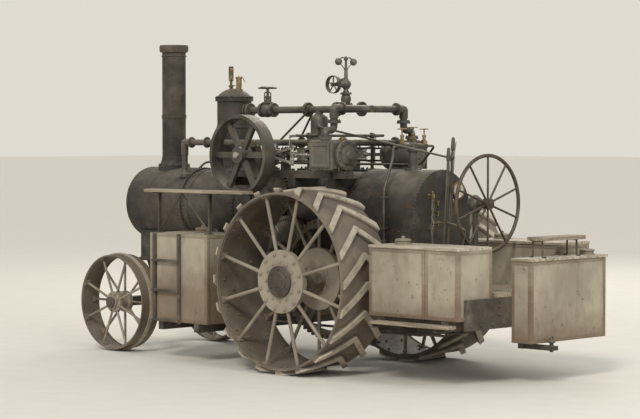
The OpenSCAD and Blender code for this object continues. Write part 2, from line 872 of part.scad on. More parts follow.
cannon_d = 240;
axle_flange_z = boiler_z - barrel_r;
module drive_axle() {
  collar_y = drive_out - flange_inset + side_play;
  color("#4c463f") {
    bar_y(drive_axle_d, drive_x, [-drive_out + 2, drive_out - 2], drive_z);
    for (side = [-1, 1])
      bar_y(drive_collar_d, drive_x, side > 0 ? [collar_y, collar_y + drive_collar_t]
            : [-collar_y - drive_collar_t, -collar_y], drive_z);
    bar_y(cannon_d, drive_x, [-hub_in + side_play, hub_in - side_play], drive_z);
    difference() {
      block([drive_x - 110, drive_x + 110], [-320, 320], [drive_z, boiler_z - barrel_r + 120]);
      bar_x(barrel_d + 2 * seat_gap, [drive_x - 200, drive_x + 200], 0, boiler_z);
    }
  }
}

/* Front axle and wheels */
front_in = front_track / 2 - front_wheel_w / 2;
front_out = front_track / 2 + front_wheel_w / 2;
beam_end = front_in - 25;
beam_top = front_z + front_beam / 2;
turntable_t = 40;
turntable_top = beam_top + turntable_t;
module front_pedestal() {
  color("#2b2825") {
    difference() {
      union() {
        block([front_x - 230, front_x + 230], [-330, 330], [turntable_top + 420, boiler_z - smokebox_r + 110]);
        block([front_x - 150, front_x + 150], [-170, 170], [turntable_top + seat_gap, turntable_top + 430]);
      }
      bar_x(smokebox_d + 2 * seat_gap, [front_x - 300, front_x + 300], 0, boiler_z);
    }
    bar_z(kingpin_d, front_x, 0, [front_z - front_beam / 2 - 40, turntable_top + 10]);
  }
}

module front_axle() {
  color("#4c463f")
    difference() {
      union() {
        block([front_x - front_beam / 2, front_x + front_beam / 2], [-beam_end, beam_end],
              [front_z - front_beam / 2, front_z + front_beam / 2]);
        bar_z(turntable_d, front_x, 0, [beam_top - 20, turntable_top]);
        bar_y(spindle_d, front_x, [-front_out - 40, front_out + 40], front_z);
        for (side = [-1, 1])
          bar_y(front_hub_d - 40, front_x, side > 0 ? [front_out + side_play, front_out + 30]
                : [-front_out - 30, -front_out - side_play], front_z);
        for (side = [-1, 1])
          bar_y(front_hub_d - 40, front_x, side > 0 ? [beam_end - 1, front_in - side_play]
                : [-front_in + side_play, -beam_end + 1], front_z);
      }
      bar_z(kingpin_d + 2 * run_fit, front_x, 0, [front_z - front_beam, front_z + front_beam + 200]);
    }
}

module front_wheel() {
  rim_r = front_r - guide_band_h;
  row_places = [60, front_wheel_w - 60];
  translate([front_x, front_in, front_z])
    along_y()
      difference() {
        union() {
          difference() {
            union() {
              cylinder(r = rim_r, h = front_wheel_w);
              translate([0, 0, (front_wheel_w - guide_band_w) / 2])
                cylinder(r = front_r, h = guide_band_w);
            }
            translate([0, 0, -1])
              cylinder(r = rim_r - front_rim_t, h = front_wheel_w + 2);
          }
          for (row = [0, 1])
            translate([0, 0, row_places[row]])
              for (spoke = [0 : front_spokes - 1])
                rotate([0, 90, (spoke + row / 2) * 360 / front_spokes])
                  translate([0, 0, front_hub_d / 2])
                    cylinder(d = front_spoke_d, h = rim_r - front_rim_t / 2 - front_hub_d / 2);
          for (place = row_places)
            translate([0, 0, place - 25])
              cylinder(d = front_hub_d + 90, h = 50);
          cylinder(d = front_hub_d, h = front_wheel_w);
        }
        translate([0, 0, -1])
          cylinder(d = spindle_d + 2 * run_fit, h = front_wheel_w + 2);
      }
}

module front_wheel_left() {
  color("#6b6053")
    front_wheel();
}

module front_wheel_right() {
  color("#6b6053")
    on_right()
      front_wheel();
}

/* Steering */
drum_x = ahead(drum_ahead);
drum_z = 700;
drum_d = 130;
hanger_t = 28;
hanger_in = barrel_r - hanger_t;
hanger_top = boiler_z - 100;
module steering_gear() {
  color("#4c463f") {
    bar_y(drum_d, drum_x, [-hanger_in, hanger_in], drum_z);
    bar_y(320, drum_x, [hanger_in + 68, hanger_in + 128], drum_z);
    bar_y(60, drum_x, [-hanger_in - 108, hanger_in + 138], drum_z);
    difference() {
      for (side = [-1, 1])
        block([drum_x - 60, drum_x + 60],
              side > 0 ? [hanger_in, hanger_in + hanger_t] : [-hanger_in - hanger_t, -hanger_in],
              [drum_z - 60, hanger_top]);
      bar_x(barrel_d + 2 * seat_gap, [drum_x - 100, drum_x + 100], 0, boiler_z);
    }
  }
}

chain_d = 30;
chain_end = ahead(2620);
module steering_chains() {
  color("#3a342e")
    for (side = [-1, 1])
      bar_x(chain_d, [drum_x, chain_end], side * chain_y, drum_z - drum_d / 2 - chain_d / 2 - seat_gap);
}

steer_x = ahead(-steer_back);
steer_shaft_d = 50;
steer_hub_l = 90;
column_x = steer_x + 190;
module steering_column() {
  color("#35302b") {
    bar_x(steer_shaft_d, [steer_x - 60, column_x + 60], 0, steer_z);
    bar_z(70, column_x, 0, [deck_z, steer_z]);
    bar_z(170, column_x, 0, [deck_z, deck_z + 30]);
    bar_x(130, [column_x - 70, column_x + 70], 0, steer_z);
  }
}

module steering_wheel() {
  color("#3a2f25")
    translate([steer_x, 0, steer_z])
      rotate([0, 90, 0])
        difference() {
          union() {
            rotate_extrude($fn = 96)
              translate([steer_d / 2 - steer_rim_d / 2, 0])
                circle(d = steer_rim_d);
            for (spoke = [0 : steer_spokes - 1])
              rotate([0, 90, spoke * 360 / steer_spokes])
                translate([0, 0, 50])
                  cylinder(d = 26, h = steer_d / 2 - steer_rim_d / 2 - 50);
            translate([0, 0, -steer_hub_l / 2])
              cylinder(d = 130, h = steer_hub_l);
          }
          translate([0, 0, -steer_hub_l])
            cylinder(d = steer_shaft_d + 2 * run_fit, h = 2 * steer_hub_l);
        }
}

/* Platform and tanks */
rail_top = deck_z - deck_t;
rail_bottom = rail_top - rail_h;
end_beam_t = 40;
rail_end = ahead(-side_tank_end - end_beam_t);
cross_places = [side_tank_start + 180, side_tank_end - 200];
cross_w = 100;
drawbar_z = 430;
hitch_x = ahead(-rear_reach + 50);
module platform_frame() {
  color("#3b352f") {
    for (side = [-1, 1])
      block([rail_end, ahead(-firebox_front - firebox_l) + 300],
            side > 0 ? [rail_y, rail_y + rail_w] : [-rail_y - rail_w, -rail_y],
            [rail_bottom, rail_top]);
    for (place = cross_places)
      block([ahead(-place) - cross_w / 2, ahead(-place) + cross_w / 2],
            [-side_tank_y, side_tank_y], [rail_bottom - cross_h, rail_bottom]);
    block([rail_end, rail_end + end_beam_t], [-rear_tank_right, rear_tank_right],
          [rail_bottom - cross_h, rail_top]);
    block([rail_end, rail_end + end_beam_t + 40], [-90, 90], [drawbar_z - drawbar_t / 2, rail_bottom]);
    difference() {
      block([ahead(-rear_reach), rail_end + 10], [-60, 60], [drawbar_z - drawbar_t / 2, drawbar_z + drawbar_t / 2]);
      bar_z(hitch_d, hitch_x, 0, [drawbar_z - drawbar_t, drawbar_z + drawbar_t]);
    }
  }
}

module deck() {
  color("#8c7c66")
    block([rail_end, firebox_start], [-rail_y - rail_w, rail_y + rail_w], [rail_top, deck_z]);
}

tank_bottom = rail_bottom;
module side_tank_left() {
  color("#b3a78f") {
    block([ahead(-tool_box_start) + 5, ahead(-side_tank_start)], [side_tank_in, side_tank_y],
          [tank_bottom, side_tank_top]);
    block([ahead(-tool_box_start) + 5, ahead(-side_tank_start)], [side_tank_in - 20, side_tank_y + 20],
          [side_tank_top, side_tank_top + lid_t]);
  }
}

module side_tank_right() {
  color("#b3a78f")
    on_right() {
      block([ahead(-side_tank_end), ahead(-side_tank_start)], [side_tank_in, side_tank_y],
            [tank_bottom, side_tank_top]);
      block([ahead(-side_tank_end), ahead(-side_tank_start)], [side_tank_in - 20, side_tank_y + 20],
            [side_tank_top, side_tank_top + lid_t]);
    }
}

lid_pin_d = 16;
lid_knuckle = 60;
lid_hinge_in = 18;
lid_hinge_y = side_tank_in - lid_hinge_in;
lid_hinge_z = side_tank_top + lid_t / 2 + 1;
lid_hinge_places = [ahead(-side_tank_end) + 90, ahead(-tool_box_start) - 120];
module tool_box() {
  color("#948a77")
    difference() {
      block([ahead(-side_tank_end), ahead(-tool_box_start)], [side_tank_in, side_tank_y],
            [tank_bottom, side_tank_top]);
      block([ahead(-side_tank_end) + lid_t, ahead(-tool_box_start) - lid_t],
            [side_tank_in + lid_t, side_tank_y - lid_t], [tank_bottom + lid_t, side_tank_top + 1]);
    }
  color("#948a77")
    for (x = lid_hinge_places) {
      block([x + lid_knuckle / 2 + side_play, x + lid_knuckle / 2 + side_play + 30],
            [lid_hinge_y - 12, side_tank_in], [lid_hinge_z - 60, side_tank_top]);
      block([x + lid_knuckle / 2 + side_play, x + lid_knuckle / 2 + side_play + 30],
            [lid_hinge_y - 12, lid_hinge_y + 12], [side_tank_top - 1, lid_hinge_z]);
      bar_x(24, [x + lid_knuckle / 2 + side_play, x + lid_knuckle / 2 + side_play + 30], lid_hinge_y, lid_hinge_z);
      bar_x(lid_pin_d, [x - lid_knuckle / 2, x + lid_knuckle / 2 + side_play + 5], lid_hinge_y, lid_hinge_z);
    }
}

module tool_box_lid() {
  color("#b8ab92")
    difference() {
      union() {
        block([ahead(-side_tank_end), ahead(-tool_box_start)], [side_tank_in, side_tank_y + 20],
              [side_tank_top + seat_gap, side_tank_top + lid_t]);
        for (x = lid_hinge_places) {
          bar_x(30, [x - lid_knuckle / 2, x + lid_knuckle / 2], lid_hinge_y, lid_hinge_z);
          block([x - lid_knuckle / 2, x + lid_knuckle / 2], [lid_hinge_y, side_tank_in + 1],
                [side_tank_top + lid_t - 10, side_tank_top + lid_t]);
        }
      }
      bar_x(lid_pin_d + 2 * run_fit, [ahead(-side_tank_end) - 1, ahead(-tool_box_start) + 1],
            lid_hinge_y, lid_hinge_z);
    }
}

rear_tank_end = ahead(-rear_reach + 110);
module rear_tank() {
  color("#a89d88") {
    block([rear_tank_end, rail_end], [-rear_tank_right, rear_tank_left], [rear_tank_z, rear_tank_top]);
    block([rear_tank_end - 20, rail_end], [-rear_tank_right - 20, rear_tank_left + 20],
          [rear_tank_top, rear_tank_top + lid_t]);
  }
}

seat_t = 45;
module plank_seat() {
  color("#8a765c") {
    block([rear_tank_end - 20, rail_end - 40], [-700, 100], [seat_z - seat_t, seat_z]);
    for (y = [-620, 20])
      block([rear_tank_end + 60, rail_end - 80], [y - 30, y + 30], [rear_tank_top + lid_t, seat_z - seat_t]);
  }
}

/* Front tanks */
front_tank_x = ahead(front_tank_start);
bearer_h = 110;
bearer_places = [200, 870];
hanger_y = 330;
module tank_bearers() {
  color("#3b352f")
    for (place = bearer_places)
      difference() {
        union() {
          block([front_tank_x + place - 45, front_tank_x + place + 45], [-front_tank_y, front_tank_y],
                [front_tank_z - bearer_h, front_tank_z]);
          for (side = [-1, 1])
            block([front_tank_x + place - 45, front_tank_x + place + 45],
                  side > 0 ? [hanger_y - 15, hanger_y + 15] : [-hanger_y - 15, -hanger_y + 15],
                  [front_tank_z, boiler_z - 200]);
        }
        bar_x(barrel_d + 2 * seat_gap, [front_tank_x, front_tank_x + front_tank_l], 0, boiler_z);
      }
}

module front_tank_side() {
  block([front_tank_x, front_tank_x + front_tank_l], [front_tank_in, front_tank_y],
        [front_tank_z, front_tank_top]);
}

module front_tank_left() {
  color("#b3a78f")
    front_tank_side();
}

module front_tank_right() {
  color("#b3a78f")
    on_right()
      front_tank_side();
}

ladder_x = front_tank_x + front_tank_l - 560;
ladder_w = 460;
module ladder() {
  color("#2f2a26") {
    for (x = [ladder_x, ladder_x + ladder_w])
      block([x - 25, x + 25], [front_tank_y, front_tank_y + 30], [front_tank_z - 20, front_tank_top]);
    for (z = [500, 880, 1260])
      block([ladder_x - 20, ladder_x + ladder_w + 20], [front_tank_y + 5, front_tank_y + 60], [z, z + 30]);
  }
}

post_places = [60, 1010];
running_t = 40;
module running_board_side() {
  block([ahead(780), front_tank_x + front_tank_l + 100], [running_in, running_out],
        [running_z - running_t, running_z]);
  for (place = post_places)
    block([front_tank_x + place - 25, front_tank_x + place + 25], [running_in + 40, running_in + 90],
          [front_tank_top, running_z - running_t]);
}

module running_board_left() {
  color("#8c7c66")
    running_board_side();
}

module running_board_right() {
  color("#8c7c66")
    on_right()
      running_board_side();
}

lever_places = [[-1800, 470, 2720], [-1800, 390, 2840]];
module levers() {
  color("#3a342e")
    for (lever = lever_places) {
      block([ahead(lever[0]) + 20, ahead(lever[0]) + 200], [lever[1] - 35, lever[1] + 35], [deck_z, deck_z + 60]);
      bar_between(30, [ahead(lever[0]) + 110, lever[1], deck_z + 30], [ahead(lever[0]), lever[1], lever[2]]);
    }
}

module backhead_fittings() {
  color("#8a7a52") {
    bar_x(200, [firebox_start - 70, firebox_start], -200, boiler_z + 250);
    bar_z(60, firebox_start - 60, 250, [boiler_z - 250, boiler_z + 250]);
    block([firebox_start - 60, firebox_start], [235, 265], [boiler_z + 180, boiler_z + 210]);
    block([firebox_start - 60, firebox_start], [235, 265], [boiler_z - 210, boiler_z - 180]);
  }
}

exhaust_d = 80;
exhaust_y = 300;
exhaust_z = 2770;
exhaust_x = smokebox_x + 90;
module exhaust_pipes() {
  color("#2e2a26")
    for (side = [-1, 1])
      difference() {
        union() {
          bar_x(exhaust_d, [cylinder_mid, exhaust_x], side * exhaust_y, exhaust_z);
          bar_y(exhaust_d, cylinder_mid, side > 0 ? [exhaust_y, cylinder_y - 130] : [-cylinder_y + 130, -exhaust_y],
                exhaust_z);
          bar_z(exhaust_d, exhaust_x, side * exhaust_y, [boiler_z, exhaust_z]);
          translate([exhaust_x, side * exhaust_y, exhaust_z])
            sphere(d = exhaust_d);
          translate([cylinder_mid, side * exhaust_y, exhaust_z])
            sphere(d = exhaust_d);
        }
        bar_x(smokebox_d + 2 * seat_gap, [smokebox_x - 100, exhaust_x + 200], 0, boiler_z);
      }
}

boiler_barrel();
smokebox();
smokebox_door();
smokestack();
firebox();
fire_door();
ash_pan();
steam_dome();
steam_pipe();
governor();
boiler_saddles();
engine_bed_left();
engine_bed_right();
cylinder_left();
cylinder_right();
motion_left();
motion_right();
crankshaft();
flywheel();
gear_train();
bull_pinion_left();
bull_pinion_right();
drive_axle();
drive_wheel_left();
drive_wheel_right();
bull_gear_left();
bull_gear_right();
front_pedestal();
front_axle();
front_wheel_left();
front_wheel_right();
steering_gear();
steering_chains();
steering_column();
steering_wheel();
platform_frame();
deck();
side_tank_left();
side_tank_right();
tool_box();
tool_box_lid();
rear_tank();
plank_seat();
tank_bearers();
front_tank_left();
front_tank_right();
ladder();
running_board_left();
running_board_right();
levers();
backhead_fittings();
exhaust_pipes();
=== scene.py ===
from math import atan2, cos, pi, radians, sin, sqrt

import bmesh
import bpy
from mathutils import Matrix, Vector


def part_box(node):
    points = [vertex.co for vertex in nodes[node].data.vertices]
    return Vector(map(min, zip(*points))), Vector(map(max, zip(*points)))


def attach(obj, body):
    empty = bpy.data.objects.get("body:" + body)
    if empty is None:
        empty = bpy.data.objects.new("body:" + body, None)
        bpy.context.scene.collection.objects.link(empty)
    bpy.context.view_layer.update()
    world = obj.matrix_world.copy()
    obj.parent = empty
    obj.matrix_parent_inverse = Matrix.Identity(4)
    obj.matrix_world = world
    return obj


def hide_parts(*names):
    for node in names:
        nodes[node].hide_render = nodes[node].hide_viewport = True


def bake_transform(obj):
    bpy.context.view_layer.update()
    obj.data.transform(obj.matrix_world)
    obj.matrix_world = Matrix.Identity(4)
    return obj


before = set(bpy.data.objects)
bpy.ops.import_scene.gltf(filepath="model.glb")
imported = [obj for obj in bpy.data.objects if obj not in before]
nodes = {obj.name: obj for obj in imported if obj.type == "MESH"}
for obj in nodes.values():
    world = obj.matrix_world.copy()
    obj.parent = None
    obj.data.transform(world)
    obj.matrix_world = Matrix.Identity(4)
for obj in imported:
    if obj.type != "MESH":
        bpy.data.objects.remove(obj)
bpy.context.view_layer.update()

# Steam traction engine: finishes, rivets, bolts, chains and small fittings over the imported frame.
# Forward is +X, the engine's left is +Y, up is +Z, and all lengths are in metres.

UP, DOWN, AHEAD, BACK, LEFTWARD = (0, 0, 1), (0, 0, -1), (1, 0, 0), (-1, 0, 0), (0, 1, 0)
SIDES = ((1, "left"), (-1, "right"))


# Places read from the frame

def middle(node):
    low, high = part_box(node)
    return (low + high) / 2


barrel_low, barrel_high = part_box("boiler_barrel")
boiler_z = (barrel_low.z + barrel_high.z) / 2
band_t = 0.006
barrel_r = (barrel_high.z - barrel_low.z) / 2 - band_t
smoke_low, smoke_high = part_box("smokebox")
firebox_low, firebox_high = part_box("firebox")
wheel_low, wheel_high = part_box("drive_wheel_left")
drive_axle = middle("drive_wheel_left")
drive_r = (wheel_high.z - wheel_low.z) / 2
front_axle = middle("front_wheel_left")


# Camera and lamps

PHOTO_W = 640
camera_place = Vector((-18.26, 18.83, 2.87))
camera_target = Vector((0.03, 0.10, 1.93))
focal_px = 2080


def add_camera():
    data = bpy.data.cameras.new("camera")
    data.sensor_width = 36
    data.lens = focal_px / PHOTO_W * data.sensor_width
    camera = bpy.data.objects.new("camera", data)
    camera.location = camera_place
    camera.rotation_euler = (camera_target - camera_place).to_track_quat("-Z", "Y").to_euler()
    bpy.context.scene.collection.objects.link(camera)
    bpy.context.scene.camera = camera


def add_area_light(name, place, target, size, watts, colour):
    data = bpy.data.lights.new(name, "AREA")
    data.shape = "DISK"
    data.size = size
    data.energy = watts
    data.color = colour
    lamp = bpy.data.objects.new(name, data)
    lamp.location = place
    lamp.rotation_euler = (Vector(target) - Vector(place)).to_track_quat("-Z", "Y").to_euler()
    bpy.context.scene.collection.objects.link(lamp)


# Finishes

class Finish:
    """A material that is built node by node around one Principled shader."""

    def __init__(self, name):
        self.material = bpy.data.materials.new(name)
        self.material.use_nodes = True
        self.tree = self.material.node_tree
        self.shader = self.tree.nodes["Principled BSDF"]
        self.coordinates = self.tree.nodes.new("ShaderNodeTexCoord")

    def node(self, kind, **settings):
        made = self.tree.nodes.new(kind)
        for key, value in settings.items():
            setattr(made, key, value)
        return made

    def feed(self, socket, value):
        if isinstance(value, bpy.types.NodeSocket):
            self.tree.links.new(value, socket)
        else:
            socket.default_value = value

    def place(self, stretch=(1, 1, 1), turn=(0, 0, 0), shift=(0, 0, 0)):
        mapping = self.node("ShaderNodeMapping")
        mapping.inputs["Scale"].default_value = stretch
        mapping.inputs["Rotation"].default_value = turn
        mapping.inputs["Location"].default_value = shift
        self.feed(mapping.inputs["Vector"], self.coordinates.outputs["Object"])
        return mapping.outputs["Vector"]

    def noise(self, scale, detail=4, roughness=0.55, place=None):
        noise = self.node("ShaderNodeTexNoise")
        noise.inputs["Scale"].default_value = scale
        noise.inputs["Detail"].default_value = detail
        noise.inputs["Roughness"].default_value = roughness
        self.feed(noise.inputs["Vector"], place or self.coordinates.outputs["Object"])
        return noise.outputs["Fac"]

    def between(self, value, low, high, out_low=0.0, out_high=1.0):
        span = self.node("ShaderNodeMapRange", interpolation_type="SMOOTHSTEP")
        self.feed(span.inputs["Value"], value)
        self.feed(span.inputs["From Min"], low)
        self.feed(span.inputs["From Max"], high)
        self.feed(span.inputs["To Min"], out_low)
        self.feed(span.inputs["To Max"], out_high)
        return span.outputs["Result"]

    def sum(self, kind, first, second=0.0):
        maths = self.node("ShaderNodeMath", operation=kind)
        self.feed(maths.inputs[0], first)
        self.feed(maths.inputs[1], second)
        return maths.outputs["Value"]

    def mix(self, share, first, second):
        mixer = self.node("ShaderNodeMix", data_type="RGBA")
        self.feed(mixer.inputs[0], share)
        self.feed(mixer.inputs[6], first if isinstance(first, bpy.types.NodeSocket) else (*first, 1))
        self.feed(mixer.inputs[7], second if isinstance(second, bpy.types.NodeSocket) else (*second, 1))
        return mixer.outputs[2]

    def axes(self):
        split = self.node("ShaderNodeSeparateXYZ")
        self.feed(split.inputs[0], self.coordinates.outputs["Object"])
        return split.outputs["X"], split.outputs["Y"], split.outputs["Z"]

    def upward(self):
        """How far a face looks up, from -1 to 1, in the piece's own frame."""
        split = self.node("ShaderNodeSeparateXYZ")
        self.feed(split.inputs[0], self.coordinates.outputs["Normal"])
        return split.outputs["Z"]

    def radius(self, centre):
        """Distance from a wheel's axis, which lies along Y."""
        x, _, z = self.axes()
        across = self.sum("SUBTRACT", x, centre.x)
        rise = self.sum("SUBTRACT", z, centre.z)
        square = self.sum("ADD", self.sum("MULTIPLY", across, across), self.sum("MULTIPLY", rise, rise))
        return self.sum("SQRT", square)

    def bump(self, height, distance=0.002, strength=0.6):
        bump = self.node("ShaderNodeBump")
        bump.inputs["Distance"].default_value = distance
        bump.inputs["Strength"].default_value = strength
        self.feed(bump.inputs["Height"], height)
        self.feed(self.shader.inputs["Normal"], bump.outputs["Normal"])

    def done(self, colour, roughness, metallic=0.0):
        self.feed(self.shader.inputs["Base Color"], colour)
        self.feed(self.shader.inputs["Roughness"], roughness)
        self.shader.inputs["Metallic"].default_value = metallic
        return self.material


DUST = (0.44, 0.38, 0.29)
RUST = (0.20, 0.085, 0.035)


def aged_iron(name, deep, worn, dust=0.5, rust=0.3, gloss=0.45, metallic=0.3, dust_colour=DUST):
    """Iron with uneven tone, rust in patches and dust lying on what faces up."""
    finish = Finish(name)
    broad = finish.between(finish.noise(1.7, 5), 0.35, 0.68)
    fine = finish.noise(28, 6, 0.62)
    tone = finish.mix(broad, deep, worn)
    patches = finish.between(finish.noise(5.5, 7, 0.68), 0.60 - 0.12 * rust, 0.74, 0.0, min(1.0, rust * 1.6))
    tone = finish.mix(patches, tone, RUST)
    speckle = finish.between(fine, 0.52, 0.78, 0.0, 0.35)
    tone = finish.mix(speckle, tone, worn)
    lying = finish.between(finish.upward(), 0.15, 0.95, 0.0, dust)
    drift = finish.between(finish.noise(7, 6, 0.7), 0.30, 0.72, 0.25, 1.0)
    thin = finish.between(finish.noise(3.1, 5, 0.6), 0.45, 0.80, 0.0, dust * 0.55)
    settled = finish.sum("MAXIMUM", finish.sum("MULTIPLY", lying, drift), thin)
    tone = finish.mix(settled, tone, dust_colour)
    matt = finish.between(fine, 0.3, 0.7, gloss, min(1.0, gloss + 0.28))
    finish.bump(finish.sum("ADD", finish.sum("MULTIPLY", fine, 0.5), finish.noise(120, 3)), 0.0012, 0.5)
    return finish.done(tone, matt, metallic)


def bright_steel():
    """Wiped and oiled steel with a film of grime in patches."""
    finish = Finish("bright_steel")
    film = finish.between(finish.noise(9, 6, 0.65), 0.40, 0.72)
    tone = finish.mix(film, (0.50, 0.48, 0.44), (0.22, 0.18, 0.14))
    turning = finish.noise(60, 3, 0.5, finish.place(stretch=(1, 12, 12)))
    finish.bump(turning, 0.0006, 0.4)
    return finish.done(tone, finish.between(film, 0.0, 1.0, 0.26, 0.58), 0.85)


def old_brass():
    finish = Finish("brass")
    film = finish.between(finish.noise(14, 6, 0.62), 0.35, 0.70)
    tone = finish.mix(film, (0.36, 0.27, 0.135), (0.120, 0.090, 0.050))
    finish.bump(finish.noise(90, 3), 0.0006, 0.4)
    return finish.done(tone, finish.between(film, 0.0, 1.0, 0.30, 0.62), 0.85)


def wheel_iron(name, centre, rim_r, hub_r, worn_band):
    """Dusty wheel: pale spokes and hub, a darker brown rim that is partly painted shade, oil and painted shade
    round the axle, and bright metal where the tread wears.
    """
    finish = Finish(name)
    away = finish.radius(centre)
    broad = finish.between(finish.noise(2.3, 5), 0.32, 0.70)
    fine = finish.noise(34, 6, 0.65)
    body = finish.mix(broad, (0.215, 0.180, 0.138), (0.335, 0.290, 0.225))
    # Rim colour: darker brown, partly the rim's own colour and partly painted shade inside the rim.
    rim = finish.mix(broad, (0.120, 0.098, 0.074), (0.215, 0.178, 0.135))
    tone = finish.mix(finish.between(away, rim_r - 0.10, rim_r - 0.015), body, rim)
    hub = finish.between(away, hub_r - 0.02, hub_r + 0.02, 1.0, 0.0)
    tone = finish.mix(finish.sum("MULTIPLY", hub, 0.55), tone, (0.400, 0.350, 0.270))
    rust = finish.between(finish.noise(6, 7, 0.7), 0.56, 0.76, 0.0, 0.55)
    tone = finish.mix(rust, tone, (0.185, 0.095, 0.050))
    rubbed = finish.between(finish.sum("ADD", away, finish.sum("MULTIPLY", fine, 0.012)), worn_band[0],
        worn_band[1])
    scuffed = finish.sum("MULTIPLY", rubbed, finish.between(finish.noise(9, 7, 0.7), 0.30, 0.58, 0.35, 0.95))
    tone = finish.mix(scuffed, tone, (0.470, 0.415, 0.325))
    # Near-black patches round the axle: oil, and painted shade of the hub's recess.
    oil_and_recess_shade = finish.between(away, hub_r * 0.35, hub_r * 0.75, 0.55, 0.0)
    tone = finish.mix(finish.sum("MULTIPLY", oil_and_recess_shade, finish.between(finish.noise(11, 6), 0.35, 0.6)), tone,
        (0.045, 0.036, 0.028))
    finish.bump(finish.sum("ADD", finish.sum("MULTIPLY", fine, 0.6), finish.noise(110, 3)), 0.0016, 0.6)
    return finish.done(tone, finish.between(fine, 0.3, 0.7, 0.55, 0.85), 0.15)


def tank_plate(name, lid_z, deep=(0.285, 0.245, 0.180), worn=(0.430, 0.380, 0.290)):
    """Washed-out paint with dribbles, a rusty foot, chips and a band of painted shadow just below the lid, under a
    lid of bare grey boards.
    """
    finish = Finish(name)
    broad = finish.between(finish.noise(1.9, 5), 0.30, 0.72)
    tone = finish.mix(broad, deep, worn)
    dribble = finish.noise(4, 5, 0.55, finish.place(stretch=(2.0, 2.0, 0.55)))
    tone = finish.mix(finish.between(dribble, 0.48, 0.74, 0.0, 0.38), tone, (0.165, 0.122, 0.080))
    _, _, z = finish.axes()
    ragged = finish.sum("ADD", z, finish.sum("MULTIPLY", finish.noise(6, 6), 0.42))
    foot = finish.between(ragged, lid_z - 0.72, lid_z - 0.30, 0.62, 0.0)
    tone = finish.mix(foot, tone, (0.150, 0.092, 0.052))
    # Painted shadow of the lid: a darker band on the plate just below it.
    lid_shadow = finish.between(ragged, lid_z + 0.10, lid_z + 0.28, 0.0, 0.40)
    tone = finish.mix(lid_shadow, tone, (0.170, 0.125, 0.082))
    chips = finish.between(finish.noise(13, 8, 0.72), 0.60, 0.68, 0.0, 0.80)
    tone = finish.mix(chips, tone, (0.095, 0.052, 0.030))
    grain = finish.noise(1.0, 8, 0.70, finish.place(stretch=(1.6, 24, 24)))
    board = finish.mix(finish.between(grain, 0.36, 0.66), (0.250, 0.200, 0.140), (0.560, 0.500, 0.395))
    tone = finish.mix(finish.between(z, lid_z - 0.001, lid_z + 0.001), tone, board)
    fine = finish.noise(70, 4)
    finish.bump(finish.sum("SUBTRACT", finish.noise(1.3, 3), finish.sum("MULTIPLY", fine, 0.06)), 0.010, 0.5)
    return finish.done(tone, finish.between(fine, 0.3, 0.7, 0.52, 0.80), 0.05)


def board_wood(name, along, pale, dark):
    """Weathered planks with their grain along one axis."""
    finish = Finish(name)
    stretch = [26, 26, 26]
    stretch["XYZ".index(along)] = 1.4
    grain = finish.noise(1.0, 8, 0.70, finish.place(stretch=stretch))
    tone = finish.mix(finish.between(grain, 0.36, 0.66), dark, pale)
    blotch = finish.between(finish.noise(2.6, 5), 0.42, 0.72, 0.0, 0.6)
    tone = finish.mix(blotch, tone, tuple(0.5 * (a + b) for a, b in zip(dark, pale)))
    soil = finish.between(finish.noise(8, 6, 0.7), 0.58, 0.74, 0.0, 0.6)
    tone = finish.mix(soil, tone, (0.105, 0.082, 0.058))
    finish.bump(grain, 0.004, 0.7)
    return finish.done(tone, finish.between(grain, 0.3, 0.7, 0.72, 0.92))


def dark_wood():
    finish = Finish("dark_wood")
    grain = finish.noise(3.0, 7, 0.65, finish.place(stretch=(14, 14, 3)))
    tone = finish.mix(finish.between(grain, 0.35, 0.68), (0.028, 0.020, 0.014), (0.105, 0.075, 0.050))
    finish.bump(grain, 0.0015, 0.5)
    return finish.done(tone, finish.between(grain, 0.3, 0.7, 0.38, 0.62))


def gauge_glass():
    finish = Finish("gauge_glass")
    smear = finish.noise(40, 4)
    finish.shader.inputs["Transmission Weight"].default_value = 0.9
    finish.shader.inputs["IOR"].default_value = 1.45
    return finish.done((0.86, 0.88, 0.84, 1), finish.between(smear, 0.3, 0.7, 0.04, 0.16))


def dial_face():
    finish = Finish("dial_face")
    stain = finish.between(finish.noise(30, 5), 0.4, 0.75, 0.0, 0.5)
    tone = finish.mix(stain, (0.72, 0.68, 0.56), (0.46, 0.40, 0.28))
    return finish.done(tone, finish.between(stain, 0.0, 1.0, 0.40, 0.60))


DRIVE_RIM_T, FRONT_RIM_T = 0.055, 0.022
SIDE_LID_Z, REAR_LID_Z, NO_LID_Z = 1.57, 1.43, 1.80
drive_hub_r = 0.38
front_hub_r = 0.14
front_r = (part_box("front_wheel_left")[1].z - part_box("front_wheel_left")[0].z) / 2
drive_finish = wheel_iron("drive_wheel_iron", drive_axle, drive_r - DRIVE_RIM_T, drive_hub_r,
    (drive_r - 0.030, drive_r - 0.004))
front_finish = wheel_iron("front_wheel_iron", front_axle, front_r - FRONT_RIM_T, front_hub_r,
    (front_r - 0.016, front_r - 0.002))
boiler_finish = aged_iron("boiler_iron", (0.020, 0.018, 0.016), (0.060, 0.052, 0.043), dust=0.34, rust=0.22,
    gloss=0.42)
smoke_finish = aged_iron("smoke_iron", (0.022, 0.019, 0.017), (0.085, 0.066, 0.050), dust=0.25, rust=0.42,
    gloss=0.58, metallic=0.1)
engine_finish = aged_iron("engine_iron", (0.040, 0.035, 0.030), (0.110, 0.096, 0.078), dust=0.45, rust=0.25,
    gloss=0.36)
cylinder_finish = aged_iron("cylinder_iron", (0.075, 0.068, 0.058), (0.165, 0.150, 0.125), dust=0.40, rust=0.20,
    gloss=0.34)
frame_finish = aged_iron("frame_iron", (0.040, 0.034, 0.028), (0.120, 0.100, 0.078), dust=0.55, rust=0.35,
    gloss=0.55)
gear_finish = aged_iron("gear_iron", (0.050, 0.043, 0.036), (0.170, 0.145, 0.115), dust=0.55, rust=0.30,
    gloss=0.40)
steel_finish = bright_steel()
